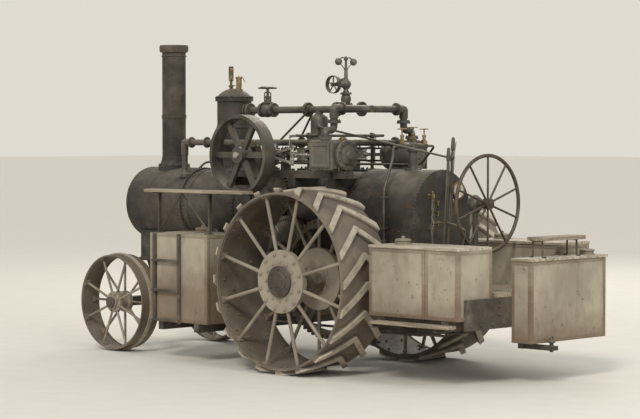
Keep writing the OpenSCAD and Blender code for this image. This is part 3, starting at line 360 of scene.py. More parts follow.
brass_finish = old_brass()
tank_finish = tank_plate("tank_plate", SIDE_LID_Z)
front_tank_finish = tank_plate("front_tank_plate", NO_LID_Z)
rear_tank_finish = tank_plate("rear_tank_plate", REAR_LID_Z)
strip_finish = tank_plate("tank_strip", 1.90, (0.190, 0.155, 0.108), (0.330, 0.280, 0.205))
deck_finish = board_wood("deck_boards", "X", (0.420, 0.360, 0.270), (0.165, 0.130, 0.090))
seat_finish = board_wood("seat_boards", "Y", (0.400, 0.340, 0.250), (0.150, 0.115, 0.080))
lid_finish = board_wood("lid_boards", "X", (0.620, 0.560, 0.450), (0.290, 0.240, 0.175))
wood_finish = dark_wood()

FINISHED = (
    (boiler_finish,
     "boiler_barrel firebox steam_dome boiler_saddles front_pedestal"),
    (smoke_finish,
     "smokebox smokebox_door smokestack"),
    (engine_finish,
     "fire_door steam_pipe governor engine_bed_left engine_bed_right flywheel "
     "steering_column levers exhaust_pipes"),
    (frame_finish,
     "ash_pan drive_axle front_axle steering_gear steering_chains platform_frame "
     "tank_bearers ladder"),
    (cylinder_finish,
     "cylinder_left cylinder_right"),
    (steel_finish,
     "motion_left motion_right crankshaft"),
    (gear_finish,
     "gear_train bull_pinion_left bull_pinion_right bull_gear_left bull_gear_right"),
    (drive_finish,
     "drive_wheel_left drive_wheel_right"),
    (front_finish,
     "front_wheel_left front_wheel_right"),
    (wood_finish,
     "steering_wheel"),
    (deck_finish,
     "deck running_board_left running_board_right"),
    (tank_finish,
     "side_tank_left side_tank_right tool_box"),
    (lid_finish,
     "tool_box_lid"),
    (rear_tank_finish,
     "rear_tank"),
    (seat_finish,
     "plank_seat"),
    (front_tank_finish,
     "front_tank_left front_tank_right"),
    (brass_finish,
     "backhead_fittings"),
)
FINISH_OF = {name: finish for finish, names in FINISHED for name in names.split()}


def dress_nodes():
    for name, piece in nodes.items():
        piece.data.materials.clear()
        piece.data.materials.append(FINISH_OF[name])


# Modelling helpers

def select_only(piece):
    bpy.ops.object.select_all(action="DESELECT")
    piece.select_set(True)
    bpy.context.view_layer.objects.active = piece


def edit(piece):
    select_only(piece)
    bpy.ops.object.mode_set(mode="EDIT")


def leave_edit():
    bpy.ops.object.mode_set(mode="OBJECT")


def pick_faces(piece, wanted):
    """Selects the faces for which wanted(centre, normal) holds, in edit mode."""
    shape = bmesh.from_edit_mesh(piece.data)
    bpy.ops.mesh.select_mode(type="FACE")
    for face in shape.faces:
        face.select_set(bool(wanted(face.calc_center_median(), face.normal)))
    shape.select_flush_mode()
    bmesh.update_edit_mesh(piece.data)


def settle(piece, name):
    """Names a finished piece and puts its place into its mesh."""
    select_only(piece)
    bpy.ops.object.transform_apply(location=True, rotation=True, scale=True)
    piece.name = name
    piece.data.name = name
    return piece


def bevel(piece, width, segments=1):
    modifier = piece.modifiers.new("edges", "BEVEL")
    modifier.width = width
    modifier.segments = segments
    modifier.limit_method = "ANGLE"
    select_only(piece)
    bpy.ops.object.modifier_apply(modifier=modifier.name)


def fit(piece, body, finish):
    piece.data.materials.clear()
    piece.data.materials.append(finish)
    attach(piece, body)
    return piece


def copy_into(shape, master, matrix):
    first = len(shape.verts)
    shape.from_mesh(master.data)
    shape.verts.ensure_lookup_table()
    bmesh.ops.transform(shape, matrix=matrix, verts=shape.verts[first:])


def piece_from(name, shape, smooth_angle):
    mesh = bpy.data.meshes.new(name)
    shape.to_mesh(mesh)
    shape.free()
    piece = bpy.data.objects.new(name, mesh)
    bpy.context.scene.collection.objects.link(piece)
    select_only(piece)
    bpy.ops.object.shade_smooth_by_angle(angle=radians(smooth_angle))
    return piece


def stamp(name, master, places):
    """One piece made of copies of a modelled master, each at (place, facing) and turned to face that way."""
    shape = bmesh.new()
    for place, facing in places:
        turn = Vector(facing).to_track_quat("Z", "Y").to_matrix().to_4x4()
        copy_into(shape, master, Matrix.Translation(place) @ turn)
    return piece_from(name, shape, 40)


masters = []


def keep_master(piece):
    masters.append(piece)
    return settle(piece, "master")


def rivet_head(radius, height):
    """A round rivet head: the upper half of a ball, flattened."""
    bpy.ops.mesh.primitive_uv_sphere_add(segments=8, ring_count=6, radius=radius)
    head = bpy.context.object
    edit(head)
    bpy.ops.mesh.select_all(action="SELECT")
    bpy.ops.mesh.bisect(plane_co=(0, 0, 0), plane_no=UP, clear_inner=True, use_fill=True)
    bpy.ops.mesh.select_all(action="SELECT")
    bpy.ops.transform.resize(value=(1, 1, height / radius), center_override=(0, 0, 0))
    leave_edit()
    return keep_master(head)


def hex_bolt(across, height, stud):
    """A hexagon nut on a stud that stands a little proud of it."""
    bpy.ops.mesh.primitive_cylinder_add(vertices=6, radius=across / 2, depth=height,
        location=(0, 0, height / 2))
    nut = bpy.context.object
    edit(nut)
    pick_faces(nut, lambda centre, normal: normal.z > 0.9)
    bpy.ops.mesh.inset(thickness=across * 0.10, depth=across * 0.05)
    bpy.ops.mesh.inset(thickness=across * 0.14, depth=0)
    bpy.ops.mesh.extrude_region_move(TRANSFORM_OT_translate={"value": (0, 0, stud)})
    leave_edit()
    return keep_master(nut)


# Rows of places, each with the way it faces

def way_round(angle):
    """The way from an axis along Y, at an angle up from ahead."""
    return Vector((cos(angle), 0, sin(angle)))


def ring_x(x, radius, centre, count, start=0.0, arc=2 * pi):
    """Places round an axis along X, facing outwards."""
    found = []
    for step in range(count):
        angle = start + arc * step / (count if arc == 2 * pi else count - 1)
        way = Vector((0, cos(angle), sin(angle)))
        found.append((Vector((x, centre[0], centre[1])) + way * radius, way))
    return found


def ring_facing(axis, at, radius, centre, count, side=1, start=0.5):
    """Places on a flat face across one axis (0, 1 or 2), round its middle."""
    first, second = [other for other in range(3) if other != axis]
    facing = Vector((0, 0, 0))
    facing[axis] = side
    found = []
    for step in range(count):
        angle = 2 * pi * (step + start) / count
        place = Vector((0, 0, 0))
        place[axis] = at
        place[first] = centre[0] + radius * cos(angle)
        place[second] = centre[1] + radius * sin(angle)
        found.append((place, facing))
    return found


def line(start, end, count, facing):
    start, end = Vector(start), Vector(end)
    return [(start.lerp(end, (step + 0.5) / count), Vector(facing)) for step in range(count)]


def both_ways(middle, reach):
    """Two places at the same distance on either side of a middle."""
    return middle - reach, middle + reach


def bolt_rows(xs, ys, z, facing=UP):
    """Places in rows over a level face."""
    return [((x, y, z), facing) for x in xs for y in ys]


# Shapes that the fittings are made of

def mm(*pairs):
    """Pairs of lengths in metres, from pairs in millimetres."""
    return [(first / 1000, second / 1000) for first, second in pairs]


def face_along(piece, name, centre, facing):
    """Turns a piece modelled round Z to face another way, and moves it to its place."""
    piece.location = centre
    piece.rotation_euler = Vector(facing).to_track_quat("Z", "Y").to_euler()
    settle(piece, name)
    bpy.ops.object.shade_smooth_by_angle(angle=radians(35))
    return piece


def turned(name, centre, facing, rows, sides=24):
    """A turned piece: a disc drawn out along its axis through rows of (distance, radius)."""
    bpy.ops.mesh.primitive_circle_add(vertices=sides, radius=rows[0][1], fill_type="NGON",
        location=(0, 0, rows[0][0]))
    piece = bpy.context.object
    settle(piece, name)
    edit(piece)
    bpy.ops.mesh.select_all(action="SELECT")
    for (before, narrow), (after, wide) in zip(rows, rows[1:]):
        bpy.ops.mesh.extrude_region_move(TRANSFORM_OT_translate={"value": (0, 0, after - before)})
        share = wide / narrow
        bpy.ops.transform.resize(value=(share, share, 1), center_override=(0, 0, after))
    bpy.ops.mesh.select_all(action="SELECT")
    bpy.ops.mesh.normals_make_consistent(inside=False)
    leave_edit()
    return face_along(piece, name, centre, facing)


def draw_ring(rows, weld=0.0001):
    """In edit mode, draws a selected loop through rows of (distance, radius) and back to where it began."""
    for (before, narrow), (after, wide) in zip(rows, rows[1:] + rows[:1]):
        bpy.ops.mesh.extrude_edges_move(TRANSFORM_OT_translate={"value": (0, 0, after - before)})
        bpy.ops.transform.resize(value=(wide / narrow, wide / narrow, 1), center_override=(0, 0, after))
    bpy.ops.mesh.select_all(action="SELECT")
    bpy.ops.mesh.remove_doubles(threshold=weld)
    bpy.ops.mesh.normals_make_consistent(inside=False)
    leave_edit()


def ring_turned(name, centre, facing, rows, sides=48):
    """A ring: a circle drawn through a closed loop of (distance, radius), back to where it began."""
    bpy.ops.mesh.primitive_circle_add(vertices=sides, radius=rows[0][1], fill_type="NOTHING",
        location=(0, 0, rows[0][0]))
    piece = settle(bpy.context.object, name)
    edit(piece)
    bpy.ops.mesh.select_all(action="SELECT")
    draw_ring(rows)
    return face_along(piece, name, centre, facing)


def hoop(name, centre, facing, outer, inner, width, sides=48):
    """A flat ring with a hole, as wide on each side of its centre."""
    half = width / 2
    return ring_turned(name, centre, facing, [(-half, outer), (half, outer), (half, inner), (-half, inner)],
        sides)


def bar(name, low, high, edge=0.004, segments=1):
    """A squared bar or board between two corners, with its edges eased."""
    low, high = Vector(low), Vector(high)
    bpy.ops.mesh.primitive_cube_add(size=1, location=(low + high) / 2, scale=high - low)
    piece = settle(bpy.context.object, name)
    bevel(piece, edge, segments)
    return piece


def rounded(path, bend):
    """The path with each inner corner drawn as a bend."""
    points = [Vector(place) for place in path]
    found = [points[0]]
    for before, corner, after in zip(points, points[1:], points[2:]):
        enter = corner + (before - corner).normalized() * bend
        leave = corner + (after - corner).normalized() * bend
        for step in range(6):
            share = step / 5
            found.append(enter.lerp(corner, share).lerp(corner.lerp(leave, share), share))
    return found + [points[-1]]


def pipe(name, path, radius, bend=0.0, sides=3):
    """A round bar or pipe along a path, closed at both ends."""
    places = rounded(path, bend) if bend else [Vector(place) for place in path]
    curve = bpy.data.curves.new(name, "CURVE")
    curve.dimensions = "3D"
    curve.bevel_depth = radius
    curve.bevel_resolution = sides
    curve.use_fill_caps = True
    run = curve.splines.new("POLY")
    run.points.add(len(places) - 1)
    for point, place in zip(run.points, places):
        point.co = (*place, 1)
    piece = bpy.data.objects.new(name, curve)
    bpy.context.scene.collection.objects.link(piece)
    select_only(piece)
    bpy.ops.object.convert(target="MESH")
    piece = bpy.context.object
    bpy.ops.object.shade_smooth_by_angle(angle=radians(40))
    return piece


def joined(name, pieces):
    """One piece made of several."""
    bpy.ops.object.select_all(action="DESELECT")
    for piece in pieces:
        piece.select_set(True)
    bpy.context.view_layer.objects.active = pieces[0]
    bpy.ops.object.join()
    piece = bpy.context.object
    piece.name = name
    piece.data.name = name
    return piece


def assemble(name, pieces, finish, body="engine", replaced=None):
    """Joins the pieces, hangs them on the body that carries them and hides the node that they stand for."""
    piece = fit(joined(name, pieces), body, finish)
    if replaced:
        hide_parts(replaced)
    return piece


def hand_wheel(name, centre, facing, radius, wire, spokes=5):
    """A rim on straight spokes round a small hub."""
    centre, facing = Vector(centre), Vector(facing)
    bpy.ops.mesh.primitive_torus_add(major_segments=32, minor_segments=8, major_radius=radius - wire,
        minor_radius=wire)
    rim = bpy.context.object
    rim.location = centre
    rim.rotation_euler = facing.to_track_quat("Z", "Y").to_euler()
    settle(rim, name)
    bpy.ops.object.shade_smooth()
    turn = facing.to_track_quat("Z", "Y")
    made = [rim, turned("hub", centre - facing * wire * 1.6, facing,
        [(0, wire * 1.8), (wire * 0.5, wire * 2.4), (wire * 2.7, wire * 2.4), (wire * 3.2, wire * 1.4)], 12)]
    for step in range(spokes):
        angle = 2 * pi * step / spokes
        out = turn @ Vector((cos(angle), sin(angle), 0))
        made.append(pipe("spoke", [centre + out * wire, centre + out * (radius - wire)], wire * 0.75, sides=2))
    return joined(name, made)


def bolted_flange(name, centre, facing, radius, thickness, bolts=6, bolt=None):
    """A round flange with a ring of nuts on the side that it faces."""
    centre, facing = Vector(centre), Vector(facing).normalized()
    disc = turned(name, centre, facing, [(0, radius - 0.002), (0.002, radius), (thickness - 0.002, radius),
        (thickness, radius - 0.002)], 32)
    turn = facing.to_track_quat("Z", "Y")
    places = []
    for step in range(bolts):
        angle = 2 * pi * (step + 0.5) / bolts
        out = turn @ Vector((cos(angle), sin(angle), 0))
        places.append((centre + facing * (thickness - 0.001) + out * radius * 0.80, facing))
    return joined(name, [disc, stamp("nuts", bolt or tiny_nut, places)])


# Rivets, nuts and nails, and where they sit on boiler, smokebox and firebox

rivet = rivet_head(0.013, 0.008)
small_rivet = rivet_head(0.008, 0.005)
large_nut = hex_bolt(0.046, 0.024, 0.014)
small_nut = hex_bolt(0.030, 0.016, 0.010)
tiny_nut = hex_bolt(0.020, 0.010, 0.006)
nail = rivet_head(0.006, 0.003)
strip_rivet = rivet_head(0.010, 0.006)

BAND_AHEAD = (0.28, 1.00, 1.90, 2.78)
axle_x = drive_axle.x


def boiler_rivets():
    places = []
    for ahead in BAND_AHEAD[1:3]:
        for shift in (-0.018, 0.018):
            places += ring_x(axle_x + ahead + shift, barrel_r + band_t, (0, boiler_z), 60)
    places += ring_x(barrel_high.x - 0.030, barrel_r, (0, boiler_z), 60)
    return fit(stamp("boiler_rivets", rivet, places), "engine", boiler_finish)


def smokebox_rivets():
    radius = (smoke_high.z - smoke_low.z) / 2
    places = []
    for x in (smoke_low.x + 0.035, smoke_low.x + 0.085, smoke_low.x + 1.08 - 0.030):
        places += ring_x(x, radius, (0, boiler_z), 64)
    places += ring_facing(0, smoke_low.x + 1.08, radius - 0.045, (0, boiler_z), 32)
    return fit(stamp("smokebox_rivets", rivet, places), "engine", smoke_finish)


def firebox_rivets():
    places = []
    radius = (firebox_high.y - firebox_low.y) / 2
    for x in (firebox_high.x - 0.03, firebox_low.x + 0.055):
        places += ring_x(x, radius, (0, boiler_z), 34, 0.0, pi)
        for side in (-1, 1):
            places += line((x, side * radius, firebox_low.z + 0.33), (x, side * radius, boiler_z), 17,
                (0, side, 0))
    stay_rows = [(row, column) for row in range(5) for column in range(8)]
    for side in (-1, 1):
        for row, column in stay_rows:
            place = Vector((firebox_low.x + 0.19 + 0.107 * column, side * radius, 1.20 + 0.13 * row))
            places.append((place, Vector((0, side, 0))))
    return fit(stamp("firebox_rivets", rivet, places), "engine", boiler_finish)


def foot_plate(length, width, height):
    """A small forged foot: a squared pad drawn in towards the spoke that it carries."""
    bpy.ops.mesh.primitive_cube_add(size=1, location=(0, 0, height / 2), scale=(length, width, height))
    foot = settle(bpy.context.object, "foot")
    edit(foot)
    pick_faces(foot, lambda centre, normal: normal.z > 0.9)
    bpy.ops.mesh.inset(thickness=width * 0.22, depth=height)
    leave_edit()
    return keep_master(foot)


spoke_foot = foot_plate(0.100, 0.090, 0.014)


# Steering chains

def chain_link(length, width, wire):
    """One oval link: a round ring with its two halves drawn apart."""
    bpy.ops.mesh.primitive_torus_add(major_segments=12, minor_segments=6, major_radius=width / 2,
        minor_radius=wire / 2)
    link = bpy.context.object
    edit(link)
    shape = bmesh.from_edit_mesh(link.data)
    for side in (-1, 1):
        for vert in shape.verts:
            vert.select_set(vert.co.x * side > 1e-5)
        shape.select_flush(True)
        bmesh.update_edit_mesh(link.data)
        bpy.ops.transform.translate(value=(side * (length - width) / 2, 0, 0))
    leave_edit()
    return keep_master(link)


def chain_run(name, master, start, end, pitch):
    """Links in a row between two places, each turned a quarter from the last."""
    run = Vector(end) - Vector(start)
    count = max(2, round(run.length / pitch))
    shape = bmesh.new()
    lean = run.to_track_quat("X", "Z").to_matrix().to_4x4()
    for step in range(count):
        place = Vector(start) + run * ((step + 0.5) / count)
        quarter = Matrix.Rotation(radians(45 + 90 * (step % 2)), 4, "X")
        copy_into(shape, master, Matrix.Translation(place) @ lean @ quarter)
    return piece_from(name, shape, 60)


def steering_chain():
    """A chain each side from the drum to an eye on the axle; the eye is carried by the front axle."""
    low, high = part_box("steering_chains")
    link = chain_link(0.066, 0.040, 0.011)
    chain_z = (low.z + high.z) / 2
    for side, word in SIDES:
        y = side * (high.y - 0.015)
        start, end = Vector((low.x, y, chain_z)), Vector((2.880, side * 0.560, 0.640))
        piece = chain_run("chain_" + word, link, start, end, 0.047)
        piece.data.materials.append(frame_finish)
        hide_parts("steering_chains")
        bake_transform(piece)
        eye = turned("chain_eye", (2.915, side * 0.560, 0.640), BACK,
            mm((0, 36), (6, 38), (14, 34), (18, 16), (36, 14), (46, 20), (56, 16)), 16)
        fit(eye, "front_axle", frame_finish)


# Floor and light

def add_floor():
    """A wide pale floor."""
    bpy.ops.mesh.primitive_plane_add(size=400, location=(0, 0, 0))
    floor = settle(bpy.context.object, "floor")
    finish = Finish("floor")
    grain = finish.noise(3, 6, 0.6)
    tone = finish.mix(finish.between(grain, 0.3, 0.7), (0.700, 0.665, 0.590), (0.730, 0.695, 0.620))
    floor.data.materials.append(finish.done(tone, 0.95))


def add_world():
    """Even pale light all round, and a warmer tone of it behind the engine and in what mirrors it."""
    world = bpy.data.worlds.new("studio")
    world.use_nodes = True
    tree = world.node_tree
    background = tree.nodes["Background"]
    paths = tree.nodes.new("ShaderNodeLightPath")
    seen = tree.nodes.new("ShaderNodeMath")
    seen.operation = "MAXIMUM"
    tree.links.new(paths.outputs["Is Camera Ray"], seen.inputs[0])
    tree.links.new(paths.outputs["Is Glossy Ray"], seen.inputs[1])
    mixer = tree.nodes.new("ShaderNodeMix")
    mixer.data_type = "RGBA"
    tree.links.new(seen.outputs[0], mixer.inputs[0])
    mixer.inputs[6].default_value = (0.58, 0.58, 0.57, 1)
    mixer.inputs[7].default_value = (0.74, 0.71, 0.635, 1)
    tree.links.new(mixer.outputs[2], background.inputs["Color"])
    background.inputs["Strength"].default_value = 1.0
    bpy.context.scene.world = world


def add_lamps():
    """A broad sun over the camera's left shoulder, and two soft panels."""
    sun = bpy.data.lights.new("sun", "SUN")
    sun.energy = 1.55
    sun.angle = radians(14)
    sun.color = (1.0, 0.975, 0.93)
    lamp = bpy.data.objects.new("sun", sun)
    lamp.rotation_euler = (Vector((0, 0, 0)) - Vector((-6, 11, 10))).to_track_quat("-Z", "Y").to_euler()
    bpy.context.scene.collection.objects.link(lamp)
    add_area_light("fill", (-16, 4, 13), (-1, 0, 1.4), 11, 900, (0.96, 0.98, 1.0))
    add_area_light("back", (8, -15, 13), (0, 0, 1.8), 11, 900, (1.0, 0.98, 0.95))


# Tanks, boards and platform

BEAM_X = (-2.995, -2.025)
POST_X, POST_FOOT_Z, POST_TOP_Z = (0.885, 1.835), 1.62, 2.14
POST_Y, POST_PAD_Z, BEARER_Z = 1.205, 1.628, 2.128
LEG_HALF, LEG_T = 0.025, 0.006
IRON_EDGE = 0.002
STEP_Y, STEP_Z = 1.205, 0.700
HITCH_X = -3.575
STRIP_W = 0.042
STRIP_T = 0.006


def tank_strips(name, low, high, sides, pitch=0.066):
    """Flat iron round the edges of a tank's sides, and the rivets that hold it."""
    low, high = Vector(low), Vector(high)
    bars, places = [], []
    for axis, sign in sides:
        across = 1 - axis
        face = high[axis] if sign > 0 else low[axis]
        spans = [(low[across], high[across], low.z, low.z + STRIP_W),
            (low[across], high[across], high.z - STRIP_W, high.z),
            (low[across], low[across] + STRIP_W, low.z + STRIP_W, high.z - STRIP_W),
            (high[across] - STRIP_W, high[across], low.z + STRIP_W, high.z - STRIP_W)]
        facing = Vector((0, 0, 0))
        facing[axis] = sign
        for first, last, foot, top in spans:
            start, end = Vector((0, 0, foot)), Vector((0, 0, top))
            start[across], end[across] = first, last
            start[axis] = face - STRIP_T * (sign < 0)
            end[axis] = start[axis] + STRIP_T
            bars.append(bar("strip", start, end, 0.0015))
            long_way = last - first > top - foot
            count = round((last - first if long_way else top - foot) / pitch)
            one, other = Vector(start), Vector(end)
            one[axis] = other[axis] = face + sign * STRIP_T
            if long_way:
                one.z = other.z = (foot + top) / 2
            else:
                one[across] = other[across] = (first + last) / 2
            places += line(one, other, count, facing)
    piece = joined(name, bars + [stamp("rivets", strip_rivet, places)])
    return fit(piece, "engine", strip_finish)


LEFT, RIGHT, FRONT, REAR = (1, 1), (1, -1), (0, 1), (0, -1)
lid_t = 0.03


def all_tank_strips():
    for _, word in SIDES:
        low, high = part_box("front_tank_" + word)
        tank_strips("front_tank_%s_strips" % word, low, high, [LEFT, RIGHT, FRONT, REAR])
    low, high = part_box("side_tank_left")
    tank_strips("side_tank_left_strips", (low.x + 0.001, low.y + 0.02, low.z),
        (high.x, high.y - 0.02, high.z - lid_t), [LEFT, RIGHT, FRONT])
    low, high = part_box("side_tank_right")
    tank_strips("side_tank_right_strips", (low.x, low.y + 0.02, low.z), (high.x, high.y - 0.02, high.z - lid_t),
        [LEFT, RIGHT, FRONT, REAR])
    box_low, box_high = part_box("tool_box")
    tank_strips("tool_box_strips", (box_low.x, 0.61, box_low.z), (box_high.x - 0.001, box_high.y, 1.57),
        [LEFT, REAR])
    low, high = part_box("rear_tank")
    tank_strips("rear_tank_strips", (low.x + 0.02, low.y + 0.02, low.z),
        (high.x, high.y - 0.02, high.z - lid_t), [LEFT, RIGHT, REAR])


def filler(name, place, radius=0.085):
    """A round filler neck with a lid, a hasp and a knob."""
    x, y, z = place
    neck = turned("neck", place, UP, [(0, radius + 0.025), (0.008, radius + 0.025), (0.010, radius),
        (0.040, radius), (0.041, radius + 0.012), (0.058, radius + 0.012), (0.066, radius - 0.010),
        (0.070, 0.022), (0.092, 0.018), (0.100, 0.010)])
    hasp = bar("hasp", (x + radius - 0.01, y - 0.015, z), (x + radius + 0.034, y + 0.015, z + 0.052), 0.003)
    return assemble(name, [neck, hasp], strip_finish)


def all_fillers():
    for tank, x, y, z in (("front", 1.36, 0.88, 1.62), ("side", -2.105, 0.905, 1.60)):
        for side, word in SIDES:
            filler("%s_filler_%s" % (tank, word), (x, side * y, z))
    filler("rear_filler", (-3.385, -0.92, 1.46), 0.075)


def planks(name, low, high, count, across, finish, replaced=(), gap=0.007, drop=0.0):
    """Boards side by side, each a little off level, with their nails."""
    low, high = Vector(low), Vector(high)
    pitch = (high[across] - low[across]) / count
    along = 1 - across
    boards, nails = [], []
    for step in range(count):
        start, end = Vector(low), Vector(high)
        start[across] = low[across] + pitch * step + gap / 2
        end[across] = start[across] + pitch - gap
        sunk = drop * ((step * 37) % 5) / 4
        end.z = high.z - sunk
        start[along] += 0.004 * ((step * 29) % 4)
        end[along] -= 0.004 * ((step * 23) % 4)
        boards.append(bar("board", start, end, 0.004, 2))
        for share in (0.04, 0.5, 0.96):
            for side in (0.25, 0.75):
                place = Vector((0, 0, end.z))
                place[along] = start[along] + (end[along] - start[along]) * share
                place[across] = start[across] + (pitch - gap) * side
                nails.append((place, Vector(UP)))
    piece = joined(name, boards)
    fit(piece, "engine", finish)
    if replaced:
        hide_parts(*replaced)
    heads = stamp(name + "_nails", nail, nails)
    fit(heads, "engine", frame_finish)
    return piece


def running_boards():
    """Two boards a side on angle-iron posts with a brace."""
    for side, word in SIDES:
        low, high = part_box("running_board_" + word)
        board_low, board_high = Vector((low.x, low.y, high.z - 0.040)), Vector((high.x, high.y, high.z))
        planks("running_planks_" + word, board_low, board_high, 2, 1, deck_finish, ["running_board_" + word],
            0.008, 0.003)
        made, bolts = [], []
        y = side * POST_Y
        for x in POST_X:
            made += [bar("leg", (x - LEG_HALF, y - LEG_T / 2, POST_FOOT_Z),
                         (x + LEG_HALF, y + LEG_T / 2, POST_TOP_Z), IRON_EDGE),
                     bar("leg", (x - LEG_HALF, y - LEG_HALF, POST_FOOT_Z),
                         (x - LEG_HALF + LEG_T, y + LEG_HALF, POST_TOP_Z), IRON_EDGE),
                     bar("foot", (x - 0.04, y - 0.05, POST_FOOT_Z), (x + 0.04, y + 0.05, POST_PAD_Z), IRON_EDGE),
                     bar("bearer", (x - 0.02, y - 0.065, BEARER_Z), (x + 0.02, y + 0.115, POST_TOP_Z),
                         IRON_EDGE)]
            bolts += bolt_rows(both_ways(x, 0.028), both_ways(y, 0.036), POST_PAD_Z)
        made += [pipe("brace", [(x, y, 1.66), (1.40, y, 2.13)], 0.010) for x in (0.90, 1.82)]
        made += [bar("carrier", (0.17, y - 0.02, BEARER_Z), (0.86, y + 0.02, POST_TOP_Z), IRON_EDGE),
                 stamp("bolts", tiny_nut, bolts)]
        assemble("running_posts_" + word, made, frame_finish)


def seat():
    """Two planks on iron stands over the rear tank."""
    low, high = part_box("plank_seat")
    planks("seat_planks", (low.x, low.y, high.z - 0.045), (high.x, high.y, high.z), 2, 0, seat_finish,
        ["plank_seat"], 0.012, 0.003)
    made = []
    x0, x1, foot_z, top_z = -3.455, -3.315, 1.468, 1.648
    for y in (-0.62, 0.02):
        path = [(x0 - 0.05, y, foot_z), (x0, y, foot_z), (x0, y, top_z), (x1, y, top_z), (x1, y, foot_z),
            (x1 + 0.05, y, foot_z)]
        made += [pipe("stand", path, 0.011, 0.02),
                 bar("pad", (x0 - 0.01, y - 0.03, 1.645), (x1 + 0.01, y + 0.03, 1.656), 0.002)]
    assemble("seat_stands", made, frame_finish)


def step_board():
    """A foot board outside the left tank, on brackets from the two cross beams."""
    planks("step_planks", (-3.175, STEP_Y, STEP_Z), (-2.000, 1.375, 0.735), 2, 0, deck_finish)
    made = []
    for x in BEAM_X:
        x0, x1 = both_ways(x, 0.03)
        made += [bar("bracket", (x0, 0.95, 0.658), (x1, 1.36, 0.670), IRON_EDGE),
                 bar("rise", (x0, 1.20, 0.664), (x1, 1.212, 0.702), IRON_EDGE),
                 bar("ledge", (x0, STEP_Y, 0.688), (x1, 1.36, STEP_Z), IRON_EDGE),
                 bar("web", (x - 0.004, STEP_Y, 0.664), (x + 0.004, 1.34, 0.696), 0.001),
                 stamp("bolts", tiny_nut, bolt_rows(both_ways(x, 0.015), (1.00,), 0.658, DOWN))]
    assemble("step_brackets", made, frame_finish)


def platform():
    planks("deck_planks", *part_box("deck"), 6, 1, deck_finish, ["deck"], 0.008, 0.004)
    running_boards()
    seat()
    step_board()
    places = []
    for x in (-2.025, -2.995):
        for side in (-1, 1):
            for dx in (-0.03, 0.03):
                places.append(((x + dx, side * 0.575, 0.780), UP))
    for side in (-1, 1):
        for z in (0.83, 0.92, 0.98):
            places.append(((-3.235, side * 0.53, z), BACK))
            places.append(((-3.195, side * 0.62, z), AHEAD))
    places += [((-3.235, y, 0.72), BACK) for y in (0.45, 0.65, 0.85, 1.03)]
    fit(stamp("platform_bolts", small_nut, places), "engine", frame_finish)
    pin = turned("drawbar_pin", (HITCH_X, 0, 0.385), UP,
        mm((0, 18), (10, 24), (105, 24), (106, 42), (126, 42), (134, 30)))
    loop = ((0.016, 0.512), (0.030, 0.545), (0.0, 0.572), (-0.030, 0.545), (-0.016, 0.512))
    eye = pipe("eye", [(HITCH_X, y, z) for y, z in loop], 0.007, 0.012)
    assemble("drawbar_pin", [pin, eye], frame_finish)


# Cylinders, crankshaft and valve motion

CYL_Y = 0.63
CRANK = Vector((0.485, 0, 2.62))
BED_TOP = 2.43
CRANK_THROW = 0.125
ROD_L = 0.56
CRANK_ANGLE = {1: radians(150), -1: radians(60)}
CYL_X, CYL_REAR, CYL_FRONT = -0.725, -0.965, -0.485
HEAD_BOLT_R = 0.158
FOOT_T = 0.026
GUIDE_TOP = 2.710
SUNK = 0.001
CHEST_Y = 0.785
LINK_Y, LIFT_Y = 0.735, 0.773
WEIGH_X, WEIGH_Z = -0.240, 2.86
ECCENTRIC_THROW, ECCENTRIC_LEAD = 0.042, radians(105)
LINK_X, LINK_REACH = -0.105, 0.092
REACH_X, REACH_TOP, REACH_END = -2.410, 2.970, 2.600
BEARING_Y, CAP_TOP = 0.82, 2.730
SEPARATOR_X, THROTTLE_X, STAY_Y = 0.14, 1.075, 0.30
STEAM_Z = 3.19
EXHAUST_Y, EXHAUST_Z = 0.30, 2.77
DOME_X, STACK_X = 1.705, 2.895
BALL_R = 0.046


def turned_arm(name, low, high, angle, centre, edge=0.006):
    """A bar that lies along +X from an axis along Y, turned up by an angle and moved to the axis."""
    piece = bar(name, low, high, edge, 2)
    piece.rotation_euler = (0, -angle, 0)
    piece.location = centre
    return settle(piece, name)


def crank_pin(side):
    angle = CRANK_ANGLE[side]
    return CRANK + way_round(angle) * CRANK_THROW


def crosshead_x(side):
    pin = crank_pin(side)
    return pin.x - sqrt(ROD_L ** 2 - (pin.z - CRANK.z) ** 2)


def bolt_ring_x(x, centre, radius, count, side, bolt):
    return stamp("nuts", bolt, ring_facing(0, x, radius, centre, count, side))


